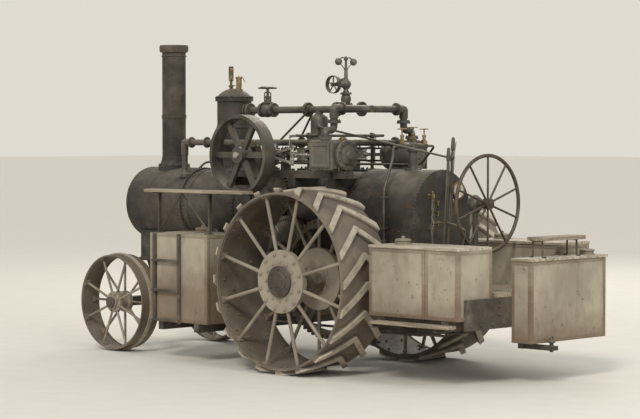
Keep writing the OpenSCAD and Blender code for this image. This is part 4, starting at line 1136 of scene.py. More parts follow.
def cylinder_casting(side, word):
    """Lagged cylinder with bolted heads, a foot on the bed and a valve chest on its outer side."""
    y = side * CYL_Y
    barrel = mm((0, 181), (4, 185), (36, 185), (40, 181), (40, 160))
    for band in (0.070, 0.220, 0.370):
        barrel += [(band - 0.020, 0.160), (band - 0.020, 0.166), (band + 0.020, 0.166), (band + 0.020, 0.160)]
    barrel += mm((440, 160), (440, 181), (444, 185), (476, 185), (480, 181))
    made = [turned("cylinder", (CYL_REAR, y, CRANK.z), AHEAD, barrel, 48),
            turned("rear_cover", (CYL_REAR, y, CRANK.z), BACK,
                mm((0, 122), (10, 118), (22, 95), (30, 60), (46, 52), (50, 44)), 40),
            bolt_ring_x(CYL_REAR + SUNK, (y, CRANK.z), HEAD_BOLT_R, 10, -1, small_nut),
            bolt_ring_x(CYL_FRONT - SUNK, (y, CRANK.z), HEAD_BOLT_R, 10, 1, small_nut),
            turned("gland", (CYL_FRONT - SUNK, y, CRANK.z), AHEAD,
                mm((0, 72), (14, 72), (14, 44), (30, 44), (30, 60), (44, 60), (48, 30)), 24)]
    for rise in (-0.052, 0.052):
        made.append(pipe("stud", [(-0.474, y, CRANK.z + rise), (-0.420, y, CRANK.z + rise)], 0.006))
    made += [bar("foot", (-0.885, y - 0.070, BED_TOP + 0.02), (-0.565, y + 0.070, 2.58), 0.012, 2),
             bar("foot_plate", (-0.915, y - 0.068, BED_TOP), (-0.535, y + 0.068, BED_TOP + FOOT_T), 0.004),
             stamp("nuts", tiny_nut, bolt_rows((-0.900, -0.550), both_ways(y, 0.045), BED_TOP + FOOT_T))]
    face = side * 0.865
    inner = side * 0.700
    y0, y1 = min(face, inner), max(face, inner)
    made.append(bar("chest", (-0.900, y0, 2.455), (-0.550, y1, 2.785), 0.010, 2))
    y0, y1 = sorted((side * 0.847, side * 0.869))
    made += [bar("chest_flange", (-0.914, y0, 2.441), (-0.536, y1, 2.799), 0.004),
             chest_cover(side)]
    border = [(x, z) for x in (-0.897, -0.831, -0.764, -0.698, -0.631, -0.553) for z in (2.458, 2.782)]
    border += [(x, z) for z in (2.540, 2.620, 2.700) for x in (-0.897, -0.553)]
    made += [stamp("nuts", tiny_nut, [((x, side * 0.868, z), (0, side, 0)) for x, z in border]),
             turned("inlet", (CYL_X, side * CHEST_Y, 2.780), UP,
                 mm((0, 70), (20, 64), (34, 62), (34, 82), (50, 82), (52, 80)), 28),
             turned("valve_gland", (-0.487, side * 0.735, CRANK.z), AHEAD,
                 mm((0, 40), (12, 40), (12, 24), (30, 24), (34, 16)), 16)]
    assemble("cylinder_casting_" + word, made, cylinder_finish, replaced="cylinder_" + word)
    branch_z = 2.925
    branch = pipe("steam_branch_" + word, [(CYL_X, y, 3.05), (CYL_X, y, branch_z),
        (CYL_X, side * CHEST_Y, branch_z), (CYL_X, side * CHEST_Y, 2.800)], 0.045, 0.070, 5)
    collar = bolted_flange("collar", (CYL_X, side * CHEST_Y, 2.832), UP, 0.082, 0.016, 6)
    upper = bolted_flange("collar", (CYL_X, y, 3.010), UP, 0.085, 0.034, 6)
    elbow = pipe("elbow", [(CYL_X, side * 0.50, STEAM_Z), (CYL_X, y, STEAM_Z), (CYL_X, y, 3.075)],
        0.057, 0.03, 5)
    end = turned("elbow_end", (CYL_X, side * 0.505, STEAM_Z), (0, -side, 0),
        mm((0, 80), (22, 80), (24, 76)), 28)
    assemble("steam_branch_" + word, [branch, collar, upper, elbow, end], engine_finish)
    outlet = pipe("exhaust_elbow", [(CYL_X, side * 0.47, EXHAUST_Z), (CYL_X, side * 0.585, EXHAUST_Z),
        (CYL_X, side * 0.585, 2.70)], 0.047, 0.05, 5)
    ring = bolted_flange("ring", (CYL_X, side * 0.475, EXHAUST_Z), (0, side, 0), 0.074, 0.018, 6)
    other = turned("ring", (CYL_X, side * 0.474, EXHAUST_Z), (0, -side, 0),
        mm((0, 74), (16, 74), (18, 70)), 28)
    assemble("exhaust_elbow_" + word, [outlet, ring, other], engine_finish)


def chest_cover(side):
    """The valve chest's cover plate, with a sunk panel that keeps a raised rim."""
    y0, y1 = sorted((side * 0.868, side * 0.886))
    low, high = Vector((-0.882, y0, 2.473)), Vector((-0.568, y1, 2.767))
    bpy.ops.mesh.primitive_cube_add(size=1, location=(low + high) / 2, scale=high - low)
    cover = settle(bpy.context.object, "cover")
    edit(cover)
    pick_faces(cover, lambda centre, normal: normal.y * side > 0.9)
    bpy.ops.mesh.inset(thickness=0.030, depth=0)
    bpy.ops.mesh.inset(thickness=0.008, depth=-0.010)
    leave_edit()
    bevel(cover, 0.003)
    return cover


def oil_cup(place, size=0.016):
    return turned("oil_cup", place, UP, [(0, size * 0.5), (0.014, size * 0.5), (0.016, size), (0.044, size),
        (0.046, size * 1.12), (0.054, size * 1.12), (0.062, size * 0.4), (0.072, size * 0.35)], 16)


def cylinder_cocks():
    """Oil cups on top of the cylinders and drain cocks under their ends."""
    made = []
    for side in (1, -1):
        y = side * CYL_Y
        made += [oil_cup((x, y, 2.775), 0.022) for x in (-0.860, -0.590)]
        cock_y = y + side * 0.10
        for x in (-0.905, -0.545):
            made += [turned("cock", (x, cock_y, 2.500), DOWN,
                         mm((0, 10), (16, 10), (18, 16), (40, 16), (42, 8), (70, 7)), 10),
                     pipe("handle", [(x, cock_y, 2.472), (x + 0.045, cock_y, 2.462)], 0.004)]
    assemble("cylinder_cocks", made, brass_finish)


def crank():
    """The double crank with its webs and pins, and the shaft between and outside them."""
    made = []
    for low, high in ((-0.563, 0.563), (0.697, 1.140), (-0.910, -0.697)):
        made.append(turned("shaft", (CRANK.x, low, CRANK.z), LEFTWARD,
            [(0, 0.040), (0.003, 0.042), (high - low - 0.003, 0.042), (high - low, 0.040)], 32))
    for side in (1, -1):
        pin = crank_pin(side)
        for inner, outer in ((0.563, 0.597), (0.663, 0.697)):
            y0, y1 = sorted((side * inner, side * outer))
            made.append(turned_arm("web", (-0.062, y0, -0.052), (0.178, y1, 0.052),
                CRANK_ANGLE[side], CRANK, 0.012))
        made.append(turned("pin", (pin.x, side * CYL_Y - 0.036, pin.z), LEFTWARD, mm((0, 36), (72, 36)), 24))
    for side, width in ((1, 42), (-1, 38)):
        made.append(turned("collar", (CRANK.x, side * 0.868, CRANK.z), (0, side, 0),
            mm((0, 62), (4, 66), (width - 4, 66), (width, 62)), 28))
    assemble("crank", made, steel_finish, replaced="crankshaft")


def running_gear(side, word):
    """Piston rod, crosshead and connecting rod, drawn to the crank pin."""
    y = side * CYL_Y
    pin, head_x = crank_pin(side), crosshead_x(side)
    made = [pipe("piston_rod", [(-0.480, y, CRANK.z), (head_x - 0.050, y, CRANK.z)], 0.021, sides=5),
            bar("crosshead", (head_x - 0.065, y - 0.030, CRANK.z - 0.045),
                (head_x + 0.065, y + 0.030, CRANK.z + 0.045), 0.008, 2)]
    for low, high in ((-0.065, -0.045), (0.045, 0.065)):
        made.append(bar("slipper", (head_x - 0.062, y - 0.036, CRANK.z + low),
            (head_x + 0.062, y + 0.036, CRANK.z + high), 0.002))
    made += [turned("boss", (head_x - 0.062, y, CRANK.z), BACK, mm((0, 36), (30, 32), (36, 28)), 20),
             turned("gudgeon", (head_x, y - 0.042, CRANK.z), LEFTWARD,
                 mm((0, 24), (2, 27), (82, 27), (84, 24)), 20)]
    lean = atan2(pin.z - CRANK.z, pin.x - head_x)
    start = Vector((head_x, 0, CRANK.z))
    rod = bar("rod", (0.040, y - 0.016, -0.020), (ROD_L - 0.050, y + 0.016, 0.020), 0.010, 3)
    rod.rotation_euler = (0, -lean, 0)
    rod.location = start
    made += [settle(rod, "rod"),
             turned_arm("big_end", (ROD_L - 0.072, y - 0.028, -0.050), (ROD_L + 0.062, y + 0.028, 0.050),
                 lean, start, 0.010)]
    for rise in (-0.036, 0.036):
        made.append(turned_arm("bolt", (ROD_L - 0.090, y - 0.009, rise - 0.009),
            (ROD_L + 0.076, y + 0.009, rise + 0.009), lean, start, 0.004))
    made.append(turned_arm("key", (ROD_L - 0.058, y - 0.036, -0.006), (ROD_L - 0.040, y + 0.036, 0.006),
        lean, start, 0.001))
    assemble("running_gear_" + word, made, steel_finish, replaced="motion_" + word)


def valve_motion(side, word):
    """Two eccentrics, their rods, the slotted link that they swing and the rod to the valve."""
    made = []
    planes = {1: 0.718, -1: 0.750}
    top = Vector((LINK_X, 0, CRANK.z + LINK_REACH))
    foot = Vector((LINK_X, 0, CRANK.z - LINK_REACH))
    for lead, end in ((1, top), (-1, foot)):
        y = side * planes[lead]
        angle = CRANK_ANGLE[side] + lead * ECCENTRIC_LEAD
        middle = CRANK + Vector((cos(angle) * ECCENTRIC_THROW, 0, sin(angle) * ECCENTRIC_THROW))
        made += [turned("sheave", (middle.x, y - 0.010, middle.z), LEFTWARD, mm((0, 84), (20, 84)), 36),
                 hoop("strap", (middle.x, y, middle.z), LEFTWARD, 0.100, 0.083, 0.028, 36)]
        reach = Vector((end.x - middle.x, 0, end.z - middle.z))
        lean = atan2(reach.z, reach.x)
        made += [turned_arm("rod", (0.092, y - 0.008, -0.016), (reach.length - 0.006, y + 0.008, 0.016), lean,
                     middle, 0.004),
                 turned_arm("lug", (0.088, y - 0.013, -0.044), (0.112, y + 0.013, 0.044), lean, middle, 0.004),
                 turned("eye", (end.x, y - 0.012, end.z), LEFTWARD, mm((0, 24), (24, 24)), 18)]
    link_r = (top - CRANK).length
    swing = atan2(top.z - CRANK.z, CRANK.x - top.x)
    for shift in (-0.022, 0.022):
        places = []
        for step in range(9):
            angle = pi + swing * 1.25 * (step / 4 - 1)
            radius = link_r + shift
            places.append((CRANK.x + radius * cos(angle), side * LINK_Y, CRANK.z + radius * sin(angle)))
        made.append(pipe("link_bar", places, 0.011, sides=3))
    for sign in (-1, 1):
        angle = pi + sign * swing * 1.25
        made.append(pipe("link_end", [(CRANK.x + (link_r + shift) * cos(angle), side * LINK_Y,
            CRANK.z + (link_r + shift) * sin(angle)) for shift in (-0.030, 0.030)], 0.012))
    made += [bar("die", (-0.124, side * LINK_Y - 0.014, CRANK.z - 0.024),
                 (-0.086, side * LINK_Y + 0.014, CRANK.z + 0.024), 0.004),
             pipe("valve_rod", [(-0.470, side * LINK_Y, CRANK.z), (-0.110, side * LINK_Y, CRANK.z)], 0.013,
                 sides=4),
             bar("clevis", (-0.190, side * LINK_Y - 0.018, CRANK.z - 0.018),
                 (-0.126, side * LINK_Y + 0.018, CRANK.z + 0.018), 0.005),
             pipe("lifting_link", [(top.x, side * LIFT_Y, top.z), (-0.110, side * LIFT_Y, 2.850)], 0.009),
             turned_arm("arm", (0, side * LIFT_Y - 0.007, -0.016), (0.140, side * LIFT_Y + 0.007, 0.016),
                 radians(-4), Vector((WEIGH_X, 0, WEIGH_Z)), 0.004)]
    assemble("valve_motion_" + word, made, steel_finish)


def reversing_shaft():
    """The weigh shaft on two posts, with its arm and the reach rod to the reversing lever."""
    made = [pipe("shaft", [(WEIGH_X, -0.785, WEIGH_Z), (WEIGH_X, 0.785, WEIGH_Z)], 0.019, sides=5)]
    for side in (1, -1):
        y0, y1 = sorted((side * 0.562, side * 0.584))
        made += [bar("post", (-0.262, y0, BED_TOP), (-0.218, y1, WEIGH_Z), 0.003),
                 bar("post_foot", (-0.290, y0, BED_TOP), (-0.190, y1 + 0.002, BED_TOP + 0.014), 0.002),
                 turned("bearing", (WEIGH_X, side * 0.573 - 0.020, WEIGH_Z), LEFTWARD,
                     mm((0, 36), (3, 39), (37, 39), (40, 36)), 22)]
    made += [turned_arm("arm", (0, 0.380, -0.018), (0.125, 0.400, 0.018), radians(90),
                 Vector((WEIGH_X, 0, WEIGH_Z)), 0.004),
             pipe("reach_rod", [(WEIGH_X, 0.410, REACH_TOP), (REACH_X, 0.410, REACH_END)], 0.013, sides=4),
             turned("eye", (WEIGH_X, 0.378, REACH_TOP), LEFTWARD, mm((0, 26), (46, 26)), 16),
             turned("eye", (REACH_X, 0.378, REACH_END), LEFTWARD, mm((0, 22), (46, 22)), 16)]
    assemble("reversing_shaft", made, engine_finish)


def bearing_caps():
    """Caps, studs and oil cups on the crankshaft's bearings."""
    made, cups = [], []
    for side in (1, -1):
        y = side * BEARING_Y
        made += [bar("cap", (0.393, y - 0.043, 2.700), (0.577, y + 0.043, CAP_TOP), 0.006, 2),
                 turned("crown", (CRANK.x, y, 2.728), UP, mm((0, 40), (12, 30), (14, 20)), 20),
                 bar("sole", (0.365, y - 0.044, BED_TOP), (0.605, y + 0.044, BED_TOP + 0.022), 0.004)]
        made.append(stamp("nuts", small_nut, bolt_rows((0.412, 0.558), both_ways(y, 0.024), CAP_TOP) +
            bolt_rows((0.378, 0.592), both_ways(y, 0.026), BED_TOP + 0.022)))
        cups.append(oil_cup((CRANK.x, y, 2.738), 0.024))
        bed_y = side * CYL_Y
        made += [stamp("nuts", tiny_nut, bolt_rows((0.068, 0.118), both_ways(bed_y, 0.045), GUIDE_TOP)),
                 stamp("nuts", tiny_nut, bolt_rows((-0.470, 0.060), both_ways(bed_y, 0.022), GUIDE_TOP))]
    assemble("bearing_caps", made, engine_finish)
    for side in (1, -1):
        cups += [oil_cup((x, side * CYL_Y, GUIDE_TOP), 0.014) for x in (-0.300, 0.030)]
    assemble("oil_cups", cups, brass_finish)


def bed_bolts():
    places = []
    for side in (1, -1):
        for x in (-0.745, 0.0, 1.015):
            for dx in (-0.035, 0.035):
                places.append(((x + dx - 0.02, side * 0.58, BED_TOP), UP))
                places.append(((x + dx - 0.02, side * 0.68, BED_TOP), UP))
        for x in (-0.745, -0.065, 1.015):
            for z in (2.365, 2.400):
                places.append(((x, side * 0.700, z), (0, side, 0)))
    fit(stamp("bed_bolts", small_nut, places), "engine", engine_finish)


def engine():
    crank()
    for side, word in SIDES:
        cylinder_casting(side, word)
        running_gear(side, word)
        valve_motion(side, word)
    reversing_shaft()
    cylinder_cocks()
    bearing_caps()
    bed_bolts()


# Governor, throttle, dome, stack and turret

def governor():
    """A flyball governor on the steam pipe: valve body, bevel gear case with its pulley, column and balls."""
    x, pulley_z = -0.325, 3.495
    made = [turned("body", (x, 0, 3.222), UP, mm((0, 50), (12, 85), (32, 85), (32, 52), (60, 58), (90, 66),
                (120, 60), (150, 46), (150, 72), (166, 72), (170, 40), (215, 30), (240, 52), (275, 66),
                (310, 58), (335, 34), (350, 26), (460, 21), (462, 30), (480, 30), (482, 17), (575, 15),
                (577, 26), (612, 26), (620, 12), (628, 10)), 28),
            stamp("nuts", tiny_nut, ring_facing(2, 3.253, 0.070, (x, 0), 6)),
            stamp("nuts", tiny_nut, ring_facing(2, 3.387, 0.060, (x, 0), 6)),
            pipe("pulley_shaft", [(x, 0.020, pulley_z), (x, 0.262, pulley_z)], 0.014, sides=4),
            turned("pulley_boss", (x, 0.040, pulley_z), LEFTWARD,
                mm((0, 40), (60, 32), (90, 22), (130, 22)), 20),
            ring_turned("pulley", (x, 0.195, pulley_z), LEFTWARD,
                mm((0, 104), (0, 110), (4, 112), (56, 112), (60, 110), (60, 104)))]
    for step in range(5):
        angle = 2 * pi * step / 5 + 0.3
        made.append(pipe("arm", [(x, 0.225, pulley_z), (x + 0.106 * cos(angle), 0.225,
            pulley_z + 0.106 * sin(angle))], 0.009))
    made.append(turned("pulley_hub", (x, 0.198, pulley_z), LEFTWARD, mm((0, 24), (56, 24)), 18))
    for side in (1, -1):
        made += [pipe("arm", [(x, 0, 3.822), (x, side * 0.070, 3.836), (x, side * 0.132, 3.796)], 0.008, 0.02),
                 pipe("rod", [(x, side * 0.022, 3.690), (x, side * 0.118, 3.774)], 0.006)]
        bulge = [(BALL_R * sin(radians(a)), BALL_R * cos(radians(a))) for a in range(-70, 71, 14)]
        ball = [(-0.044, 0.010)] + bulge + [(0.045, 0.008)]
        made.append(turned("ball", (x, side * 0.135, 3.780), UP, ball, 20))
    made.append(turned("spring_case", (x + 0.06, -0.03, 3.560), (1, 0, -0.2),
        mm((0, 20), (4, 24), (90, 24), (94, 12), (120, 10)), 16))
    assemble("governor_works", made, engine_finish, replaced="governor")


def steam_line():
    """Flange pairs along the main steam pipe, the separator under it and the throttle's hand wheel."""
    made = []
    for x in (-0.595, -0.165, 0.340, 0.965, 1.165, 1.400):
        made += [bolted_flange("flange", (x, 0, STEAM_Z), way, 0.092, 0.020, 6) for way in (AHEAD, BACK)]
    made += [turned("separator", (SEPARATOR_X, 0, 2.74), UP, mm((0, 30), (20, 70), (40, 100), (60, 110), (340, 110),
                 (360, 100), (380, 70), (395, 50), (440, 50)), 36),
             turned("drain", (SEPARATOR_X, 0, 2.76), DOWN,
                 mm((0, 22), (50, 18), (52, 26), (75, 26), (80, 10)), 16),
             turned("bonnet", (THROTTLE_X, 0, STEAM_Z), UP, mm((0, 70), (70, 70), (85, 58), (85, 78), (102, 78),
                 (106, 34), (150, 26), (152, 36), (180, 36), (184, 14), (300, 13)), 28)]
    for y in (-0.055, 0.055):
        made.append(pipe("yoke", [(THROTTLE_X, y, 3.290), (THROTTLE_X, y, 3.410),
            (THROTTLE_X, y * 0.3, 3.425)], 0.009))
    made.append(hand_wheel("wheel", (THROTTLE_X, 0, 3.475), UP, 0.125, 0.011, 5))
    for y in (-EXHAUST_Y, EXHAUST_Y):
        for x, way in ((0.755, AHEAD), (0.755, BACK), (1.900, AHEAD)):
            made.append(bolted_flange("flange", (x, y, EXHAUST_Z), way, 0.072, 0.018, 6))
    made += [pipe("stay", [(1.035, side * STAY_Y, 2.44), (0.30, side * 0.05, 3.16)], 0.014, sides=4)
             for side in (1, -1)]
    made.append(hoop("clamp", (0.300, 0, STEAM_Z), AHEAD, 0.058, 0.044, 0.034))
    for y in (-STAY_Y, STAY_Y):
        made.append(bar("stay_foot", (0.990, y - 0.030, 2.312), (1.080, y + 0.030, 2.445), 0.006))
    assemble("steam_line", made, engine_finish)


def dome_fittings():
    made = [stamp("nuts", small_nut, ring_facing(2, 2.440, 0.262, (DOME_X, 0), 18)),
            stamp("nuts", small_nut, ring_facing(2, 3.350, 0.238, (DOME_X, 0), 18)),
            ring_turned("bead", (DOME_X, 0, 2.95), UP, mm((0, 224), (0, 231), (3, 233), (37, 233), (40, 231),
                (40, 224)))]
    assemble("dome_bolts", made, boiler_finish)
    made = [turned("valve", (1.615, 0, 3.40), UP,
                mm((0, 40), (40, 40), (42, 52), (70, 52), (76, 37), (200, 37), (204, 44), (226, 44),
                (232, 12), (240, 10)), 20),
            pipe("lever", [(1.615, 0, 3.610), (1.560, 0, 3.632), (1.500, 0, 3.560)], 0.006),
            turned("whistle", (1.765, 0, 3.42), UP, mm((0, 24), (80, 24), (82, 34), (100, 34), (102, 18),
                (150, 18), (170, 34), (180, 36), (182, 20), (186, 20), (188, 33), (330, 33), (338, 26),
                (344, 8), (349, 8)), 20),
            pipe("pull", [(1.765, 0.020, 3.500), (1.700, 0.050, 3.520), (1.600, 0.080, 3.515)], 0.005)]
    assemble("whistle_and_valve", made, brass_finish)


def stack_rings():
    """The rolled bead and cap at the stack's top, the flare at its foot and the seam's rivets."""
    centre = (STACK_X, 0)
    made = [ring_turned("cap", (STACK_X, 0, 3.985), UP,
                mm((0, 158), (0, 180), (10, 190), (30, 196), (70, 196), (85, 192), (93, 184), (94, 152),
                (60, 151)), 64),
            ring_turned("bead", (STACK_X, 0, 3.925), UP, mm((0, 158), (2, 168), (10, 174), (18, 168),
                (20, 158)), 64),
            ring_turned("flare", (STACK_X, 0, 2.448), UP, mm((0, 158), (0, 212), (12, 208), (40, 184),
                (85, 168), (130, 163), (140, 158)), 64),
            ring_turned("band", (STACK_X, 0, 3.09), UP, mm((0, 158), (0, 165), (50, 165), (50, 158)), 64)]
    rows = []
    for z in (3.101, 3.129):
        turns = [2 * pi * step / 24 for step in range(24)]
        rows += [(Vector((centre[0] + 0.165 * cos(a), 0.165 * sin(a), z)),
            Vector((cos(a), sin(a), 0))) for a in turns]
    rows += [(Vector((centre[0] - 0.113, 0.113, z / 100)), Vector((-1, 1, 0))) for z in range(264, 392, 7)]
    made += [stamp("rivets", small_rivet, rows),
             stamp("nuts", small_nut, ring_facing(2, 2.453, 0.200, centre, 12))]
    assemble("stack_rings", made, smoke_finish)


def smokebox_door_fittings():
    """Hinge straps, dogs round the rim, the middle boss and its handle."""
    made = [ring_turned("bead", (3.361, 0, boiler_z), AHEAD,
                mm((0, 320), (0, 356), (8, 352), (12, 336), (8, 322)), 64),
            turned("dish", (3.359, 0, boiler_z), AHEAD,
                mm((0, 300), (12, 292), (30, 235), (44, 150), (52, 70), (54, 45), (78, 40), (84, 28)), 56)]
    for z in both_ways(boiler_z, 0.19):
        made.append(bar("strap", (3.360, 0.05, z - 0.022), (3.386, 0.345, z + 0.022), 0.004))
    made.append(pipe("handle", [(3.440, 0, boiler_z), (3.452, 0.06, boiler_z - 0.09),
        (3.452, 0.10, boiler_z - 0.15)], 0.011, 0.02))
    for step in range(8):
        angle = 2 * pi * (step + 0.5) / 8
        y, z = 0.338 * cos(angle), boiler_z + 0.338 * sin(angle)
        if y < 0.25:
            made.append(turned("dog", (3.366, y, z), AHEAD,
                mm((0, 20), (10, 20), (12, 12), (30, 12), (32, 17), (44, 16)), 6))
    assemble("door_fittings", made, smoke_finish, "smokebox_door")


def turret():
    """Steam turret over the firebox with its valves, and pipes from it to the injector and the blower."""
    x, manifold_z, injector_y = -1.45, 2.735, 0.545
    made = [turned("turret", (x, 0, 2.430), UP, mm((0, 105), (30, 105), (34, 70), (80, 60), (230, 58),
                (240, 78), (262, 78), (268, 60), (330, 55), (350, 35)), 28),
            stamp("nuts", tiny_nut, ring_facing(2, 2.460, 0.088, (x, 0), 8)),
            pipe("manifold", [(x, -0.25, manifold_z), (x, 0.25, manifold_z)], 0.030, sides=4)]
    assemble("turret", made, engine_finish)
    valves = []
    for y in (-0.20, 0.0, 0.20):
        base = 2.755 if y else 2.775
        valves += [turned("valve", (x, y, base), UP, mm((0, 30), (30, 36), (50, 36), (60, 22), (90, 20),
                       (92, 26), (112, 26), (116, 9), (190, 8)), 14),
                   hand_wheel("wheel", (x, y, base + 0.185), UP, 0.058, 0.006, 4)]
    assemble("turret_valves", valves, brass_finish)
    run = [pipe("run", [(x, 0.24, manifold_z), (x, 0.360, manifold_z), (x, 0.360, 2.60),
               (x - 0.02, injector_y, 2.20), (x - 0.02, injector_y, 1.62)], 0.017, 0.06, 4),
           pipe("run", [(x, -0.24, manifold_z), (x, -0.40, manifold_z), (x + 0.3, -0.475, 2.50),
               (2.70, -0.40, 2.50), (2.70, -0.26, 2.40)], 0.015, 0.07, 4),
           turned("injector", (x - 0.02, injector_y, 1.64), DOWN,
               mm((0, 26), (30, 26), (34, 38), (60, 38), (64, 28), (150, 24), (154, 36), (180, 36), (184, 24),
               (230, 20)), 16),
           pipe("feed", [(x - 0.02, injector_y, 1.42), (x - 0.02, injector_y, 1.10), (-1.86, 0.60, 1.02)],
               0.016, 0.05, 4)]
    for z in (2.12, 1.75, 1.20):
        run.append(bar("clip", (x - 0.045, 0.498, z - 0.010), (x + 0.005, 0.566, z + 0.010), 0.003))
    assemble("injector_pipes", run, engine_finish)


def exhaust_elbows():
    """Bends and foot flanges where the exhaust pipes drop into the smokebox."""
    made, drop_x = [], 2.345
    for y in (-EXHAUST_Y, EXHAUST_Y):
        made += [pipe("elbow", [(2.22, y, EXHAUST_Z), (drop_x, y, EXHAUST_Z), (drop_x, y, 2.60)],
                     0.050, 0.025, 5),
                 bolted_flange("flange", (2.200, y, EXHAUST_Z), AHEAD, 0.072, 0.018, 6),
                 turned("foot", (drop_x, y, 2.31), UP,
                     mm((0, 78), (40, 72), (60, 52), (80, 47), (90, 41)), 28)]
    assemble("exhaust_elbows", made, engine_finish)


def pedestal_ribs():
    """Ribs, flange plate and bolts on the casting over the front axle."""
    x, foot_z, top_z, plate_z = front_axle.x, 0.780, 1.186, 1.215
    made = [bar("plate", (x - 0.250, -0.350, 1.185), (x + 0.250, 0.350, plate_z), 0.006),
            bar("sole", (x - 0.168, -0.188, 0.752), (x + 0.168, 0.188, foot_z), 0.006)]
    for side in (-1, 1):
        for y in (-0.130, 0.0, 0.130):
            made.append(wedge("rib", (x + side * 0.150, y - 0.011, foot_z),
                (x + side * 0.158, y + 0.011, top_z), 0, side * 0.080))
        for dx in (-0.110, 0.0, 0.110):
            made.append(wedge("rib", (x + dx - 0.011, side * 0.170, foot_z),
                (x + dx + 0.011, side * 0.178, top_z), 1, side * 0.145))
    places = bolt_rows(both_ways(x, 0.235), (-0.31, -0.155, 0, 0.155, 0.31), plate_z)
    places += [((x + dx, side * 0.179, foot_z), UP) for side in (-1, 1) for dx in (-0.145, 0.145)]
    made.append(stamp("nuts", small_nut, places))
    assemble("pedestal_ribs", made, boiler_finish)


def wedge(name, low, high, axis, reach):
    """A thin rib that stands out further at its top."""
    low, high = Vector(low), Vector(high)
    for k in range(3):
        low[k], high[k] = sorted((low[k], high[k]))
    bpy.ops.mesh.primitive_cube_add(size=1, location=(low + high) / 2, scale=high - low)
    rib = settle(bpy.context.object, name)
    edit(rib)
    shape = bmesh.from_edit_mesh(rib.data)
    bpy.ops.mesh.select_mode(type="VERT")
    outer = high[axis] if reach > 0 else low[axis]
    for corner in shape.verts:
        corner.select_set(abs(corner.co[axis] - outer) < 1e-4 and corner.co.z > (low.z + high.z) / 2)
    bmesh.update_edit_mesh(rib.data)
    step = [0, 0, 0]
    step[axis] = reach
    bpy.ops.transform.translate(value=step)
    leave_edit()
    return rib


def boiler_top():
    exhaust_elbows()
    pedestal_ribs()
    governor()
    steam_line()
    dome_fittings()
    stack_rings()
    smokebox_door_fittings()
    turret()


# Wheels and gearing

GEAR_Y, GEAR_W, MODULE = 0.479, 0.062, 0.014
DRIVE_SPOKES, FRONT_SPOKES, LUG_PAIRS = 12, 8, 20

def spoke_feet(centre, rim_in, count, rows):
    """Forged feet inside the rim, where two rows of spokes meet it half a pitch apart."""
    feet = []
    for row, y in enumerate(rows):
        for step in range(count):
            out = way_round(2 * pi * (step + row / 2) / count)
            feet.append((Vector((centre[0], y, centre[1])) + out * (rim_in + 0.002), -out))
    return stamp("feet", spoke_foot, feet)


def drive_wheel_bolts(side, word):
    """Nuts on the hub flange, feet where the spokes meet the rim, and lug bolts through it."""
    y_face = side * 1.452
    centre = (drive_axle.x, drive_axle.z)
    rim_in = drive_r - DRIVE_RIM_T - 0.022
    made = [stamp("nuts", large_nut, ring_facing(1, y_face, 0.335, centre, 12, side)),
            stamp("nuts", small_nut, ring_facing(1, y_face, 0.235, centre, 12, side, 0))]
    for edge in (0.715, 1.470):
        y0 = side * edge
        made.append(ring_turned("rim_bead", (centre[0], y0, centre[1]), (0, side, 0),
            [(0, rim_in + 0.002), (0, rim_in - 0.010), (0.014, rim_in - 0.010), (0.014, rim_in + 0.002)], 96))
    made.append(spoke_feet(centre, rim_in, DRIVE_SPOKES, (side * 0.783, side * 1.417)))
    bolts = []
    for step in range(LUG_PAIRS):
        for y, lead in ((0.80, 0.24), (0.95, 0.12), (1.25, 0.12), (1.40, 0.24)):
            angle = 2 * pi * step / LUG_PAIRS + lead + 0.05
            out = way_round(angle)
            bolts.append((Vector((centre[0], side * y, centre[1])) + out * rim_in, -out))
    made.append(stamp("lug_nuts", small_nut, bolts))
    piece = joined("drive_bolts_" + word, made)
    fit(piece, "drive_wheel_" + word, drive_finish)
    cap = [turned("axle_cap", (centre[0], side * 1.476, centre[1]), (0, side, 0),
               mm((0, 105), (4, 112), (10, 108), (16, 80), (18, 40)), 32),
           stamp("nuts", tiny_nut, ring_facing(1, side * 1.476, 0.150, centre, 6, side))]
    assemble("axle_cap_" + word, cap, frame_finish)


def front_wheel_bolts(side, word):
    centre = (front_axle.x, front_axle.z)
    rim_in = front_r - FRONT_RIM_T - 0.016
    made = [spoke_feet(centre, rim_in, FRONT_SPOKES, (side * 0.810, side * 0.990)),
            stamp("nuts", small_nut, ring_facing(1, side * 1.015, 0.116, centre, 8, side))]
    for edge in (0.757, 1.031):
        made.append(ring_turned("rim_bead", (centre[0], side * edge, centre[1]), (0, side, 0),
            [(0, rim_in + 0.002), (0, rim_in - 0.008), (0.012, rim_in - 0.008), (0.012, rim_in + 0.002)], 72))
    assemble("front_bolts_" + word, made, front_finish, "front_wheel_" + word)


